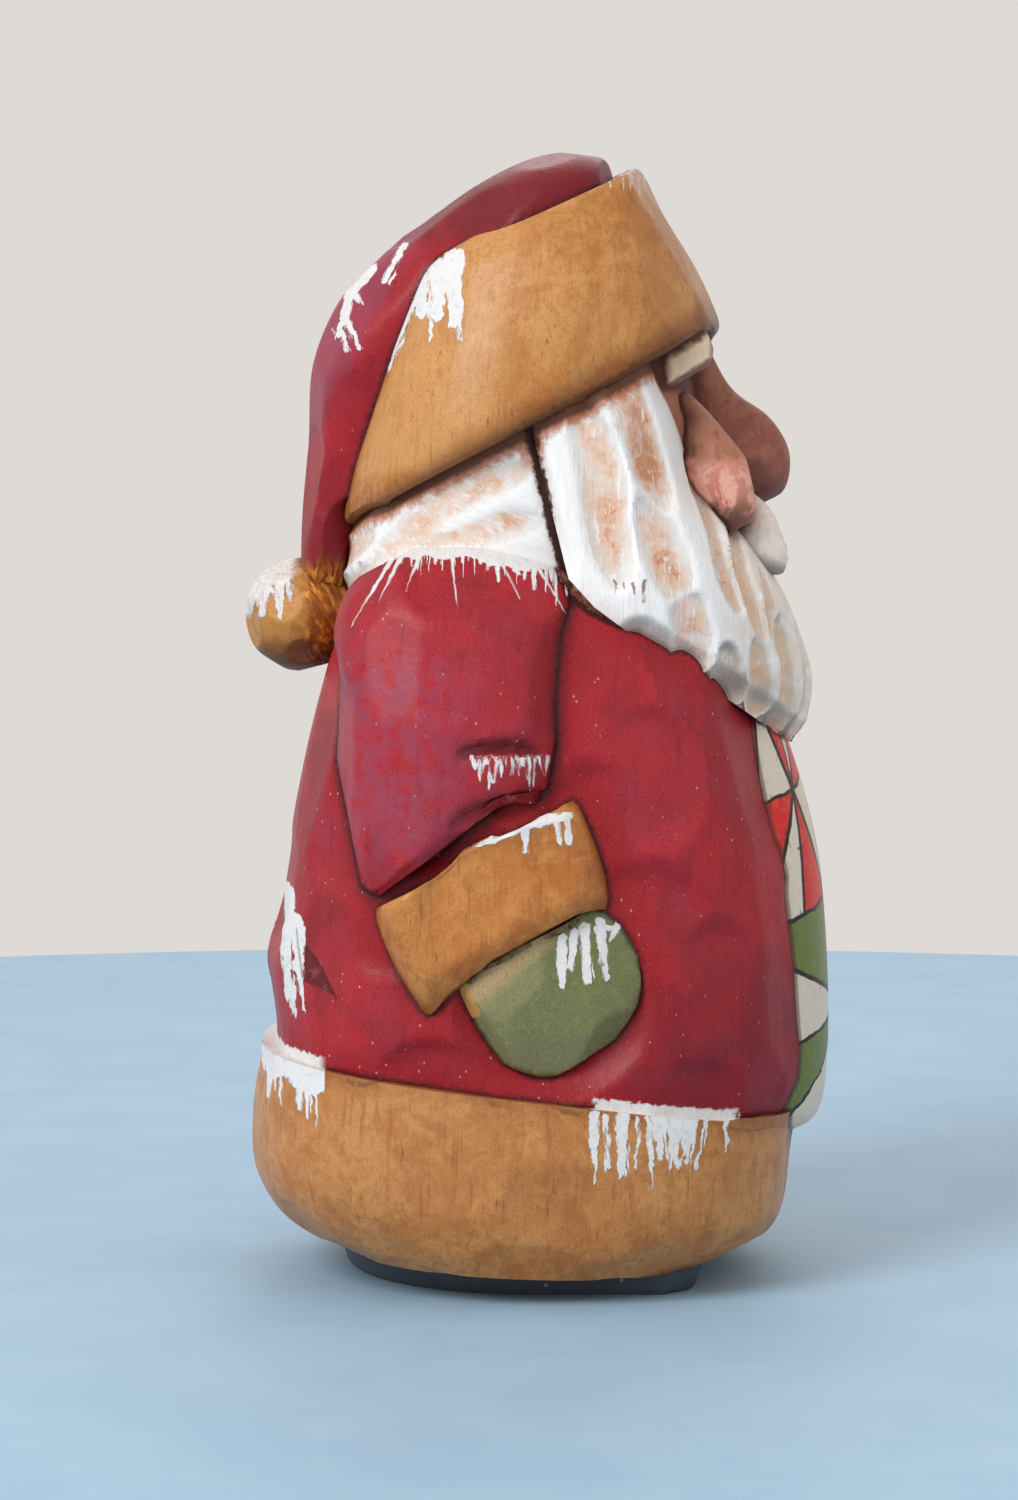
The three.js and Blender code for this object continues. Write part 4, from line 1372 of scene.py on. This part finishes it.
def sleeve_details(paint):
    """A painted purple sheen on the back of the sleeve, and snow on the shoulder and under the fold."""
    # Painted sheen: a purple-pink highlight where the daylight glances off the back of the sleeve.
    painted_sheen = paint.y.fade(4, 11) * window(paint.z, 38, 56, 6)
    paint.cover(painted_sheen * paint.noise(1.6, 5, shift=4).fade(0.34, 0.62) * 0.5, "8c4660")
    bare = 1 - beside_beard(paint)
    (collar,) = paint.attributes("collar")
    length = window(paint.y, -3, 16.5, 2) * 4.8
    arch = window(paint.y, 0, 14.5, 5) * 1.7 + 0.8
    fringe = drips(paint, paint.y, collar, length, 0.4, arch, 1.0) * bare
    marks = [
        (0.6, 64, -2.4, 59, 0.46), (3.4, 64, 1.6, 60.4, 0.4), (12.2, 64.2, 15.9, 58, 0.5),
        (11.6, 64.2, 13.6, 60, 0.5), (10, 64.4, 11.2, 61, 0.5), (7.4, 64.2, 6.8, 59.4, 0.42),
    ]
    fold = drips(paint, paint.y, 47.0 - paint.z, window(paint.y, -0.8, 5.6, 0.6) * 3.6, 0.8, 0.5, 7.0)
    fold = fold * paint.grain(0.4, 3, 5, shift=33).fade(0.42, 0.58)
    return highest(fringe, strokes(paint, marks, 0.3, 0.3, 1.0), fold)


def coat_details(paint):
    """Painted shade low on the front, and snow on the collar behind, on the coat's back, and where it meets
    the hem.
    """
    # Painted shade: the lower front of the coat, turned from the daylight, is darker.
    paint.cover(window(paint.z, 14, 28, 8) * paint.y.fade(-6, -14) * 0.35, "4e1220")
    bare = 1 - beside_beard(paint)
    collar, seam = paint.attributes("collar", "seam")
    length = window(paint.y, -3, 18.5, 2) * 3
    fringe = drips(paint, paint.y, collar, length, 0.6, 0.9, 1.0) * bare
    ragged = paint.noise(0.5, 3)
    low = window(paint.y + ragged * 2 - 1, -17.2, -4.8, 0.6) * window(paint.z, 12, 18.8, 0.4)
    low = low.most(window(paint.y, 18.6, 27, 1) * window(paint.z, 12, 24, 0.4))
    rim = (seam + ragged * 0.8).fade(1.4, 1.15) * low
    marks = [
        (21.9, 34.2, 21.7, 29.5, 1.7), (21, 32.2, 20.7, 28.4, 1.6), (21.9, 30, 21.6, 25.6, 1.1),
        (20.9, 28.6, 20.3, 24.8, 0.6), (21.6, 27, 21.2, 24.2, 0.5),
    ]
    return highest(fringe, rim, strokes(paint, marks))


def crown_details(paint):
    """A darker top, a painted purple sheen on the outer side of the bend, a gold tuft at the tail's end, and
    snow.
    """
    patches = paint.noise(3, 4, shift=35)
    paint.cover((paint.z + patches * 6).fade(93, 96) * 0.7, "5d121c")
    # Painted sheen: a purple highlight on the outer side of the bend, which faces the daylight.
    sheen_outer_bend = (paint.y + (paint.z - 80) * 0.55 + patches * 3).fade(17.6, 19.4)
    paint.cover(sheen_outer_bend * paint.y.fade(8, 13) * 0.6, "8b3c54")
    paint.cover(paint.z.fade(74, 64) * 0.5, "6f1c26")
    brush = paint.grain(0.5, 4, 8, shift=37)
    tuft = (paint.z + (brush - 0.5) * 9).fade(63.8, 62.8)
    paint.cover(tuft, "7d3d14")
    paint.cover(tuft * brush.fade(0.42, 0.56), "c87c22")
    paint.cover(tuft * brush.fade(0.56, 0.66) * 0.8, "eeb964")
    marks = [
        (14.6, 89.2, 16.5, 86.9, 1.1), (16.5, 87.2, 17.4, 83.7, 1.2), (16.2, 87.2, 15.3, 86, 0.6),
        (16.9, 85, 15.7, 82.1, 0.6), (17.4, 84, 16.6, 81.9, 0.5), (11.7, 91.2, 13.2, 88, 0.9),
    ]
    return strokes(paint, marks)


FINISHES = {
    "coat": lambda: crimson("crimson", 1.0, coat_details),
    "sleeve": lambda: crimson("sleeve_crimson", 1.0, sleeve_details),
    "crown": lambda: crimson("crown_crimson", 2.0, crown_details),
    "hem": lambda: fur("hem_fur", 1.0, ("b4743c", "c98f52", "925224"), 0.95, hem_snow, slip=0.55),
    "brim": lambda: fur("brim_fur", 2.0, ("ae6e33", "cc965c", "8c5223"), 0.4, brim_snow),
    "cuff": lambda: fur("cuff_fur", 3.0, ("b26a2e", "ca8846", "8a4a1c"), 0.85, cuff_snow),
    "beard": lambda: white_hair("beard_white", 1.0),
    "hair": lambda: white_hair("hair_white", 2.0, 61.0, 0.9),
    "face": face_skin,
    "cheek": cheek_skin,
    "brow": brow_paint,
    "eye": lambda: Paint("eye_black", "1c1312", 0.4).done(),
    "mitten": olive,
    "tassel": gold,
    "boots": black,
    "quilt": patchwork,
}
SAME_FINISH = {"moustache": "beard", "nose": "face"}


def dress(piece):
    """Gives each form its finish."""
    mesh = piece.data
    names = [material.name for material in mesh.materials]
    made = {name: make() for name, make in FINISHES.items()}
    target = np.array([list(made).index(SAME_FINISH.get(name, name)) for name in names])
    index = read(mesh.polygons, "material_index", kind=int)
    mesh.materials.clear()
    for material in made.values():
        mesh.materials.append(material)
    mesh.polygons.foreach_set("material_index", target[index])
    mesh.update()


# Stage: camera, table top and light

PHOTO_SIZE = (1018, 1500)
FOCAL_PIXELS = 3759
SENSOR_MM = 36
CAMERA_PLACE = (-0.430, 0.00315, 0.0818)
CAMERA_PITCH = 3.05  # degrees below level
TABLE_REACH = 0.34
SHARP_ANGLE = 38


def camera():
    """The photograph's view of his right side, from a little above the collar."""
    data = bpy.data.cameras.new("camera")
    data.sensor_width = SENSOR_MM
    data.lens = FOCAL_PIXELS / max(PHOTO_SIZE) * SENSOR_MM
    data.clip_start = 0.01
    eye = bpy.data.objects.new("camera", data)
    eye.location = CAMERA_PLACE
    eye.rotation_euler = (math.radians(90 - CAMERA_PITCH), 0, math.radians(-90))
    bpy.context.scene.collection.objects.link(eye)
    bpy.context.scene.camera = eye


def floor():
    """A plain pale table top, round, so that it ends as far behind the figure from every side."""
    bpy.ops.mesh.primitive_cylinder_add(vertices=256, radius=TABLE_REACH, depth=0.02, location=(0, 0, -0.01))
    top = bpy.context.object
    top.name = "table_top"
    paint = Paint("table_paint", "9bbad2", 0.6)
    paint.cover(paint.noise(12, 3).fade(0.4, 0.6) * 0.4, "a6c3d8")
    top.data.materials.append(paint.done())


def lamp(name, place, target, size, power, colour):
    data = bpy.data.lights.new(name, "AREA")
    data.shape = "DISK"
    data.size = size
    data.energy = power
    data.color = colour
    light = bpy.data.objects.new(name, data)
    light.location = place
    light.rotation_euler = (Vector(target) - Vector(place)).to_track_quat("-Z", "Y").to_euler()
    bpy.context.scene.collection.objects.link(light)


def lights():
    """Soft daylight from the camera's left, and a pale room all round."""
    middle = (0, 0, 0.06)
    lamp("window", (-0.55, 0.5, 0.55), middle, 0.45, 5.2, (0.95, 0.98, 1))
    lamp("fill", (-0.5, -0.6, 0.35), middle, 0.7, 0.4, (1, 0.97, 0.94))
    lamp("back", (0.7, -0.1, 0.6), middle, 0.6, 1.4, (1, 1, 1))
    world = bpy.data.worlds.new("room")
    world.use_nodes = True
    sky = world.node_tree.nodes["Background"].inputs
    sky["Color"].default_value = (0.75, 0.715, 0.685, 1)
    sky["Strength"].default_value = 0.98
    bpy.context.scene.world = world


camera()
floor()
lights()
figure = carve()
mark(figure)
dress(figure)
figure.data.transform(Matrix.Scale(UNIT, 4))
figure.data.polygons.foreach_set("use_smooth", [True] * len(figure.data.polygons))
figure.data.set_sharp_from_angle(angle=math.radians(SHARP_ANGLE))
figure.name = "carved_santa_figure"
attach(figure, "root")
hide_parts("carved_santa")
bpy.context.scene.view_settings.view_transform = "Standard"
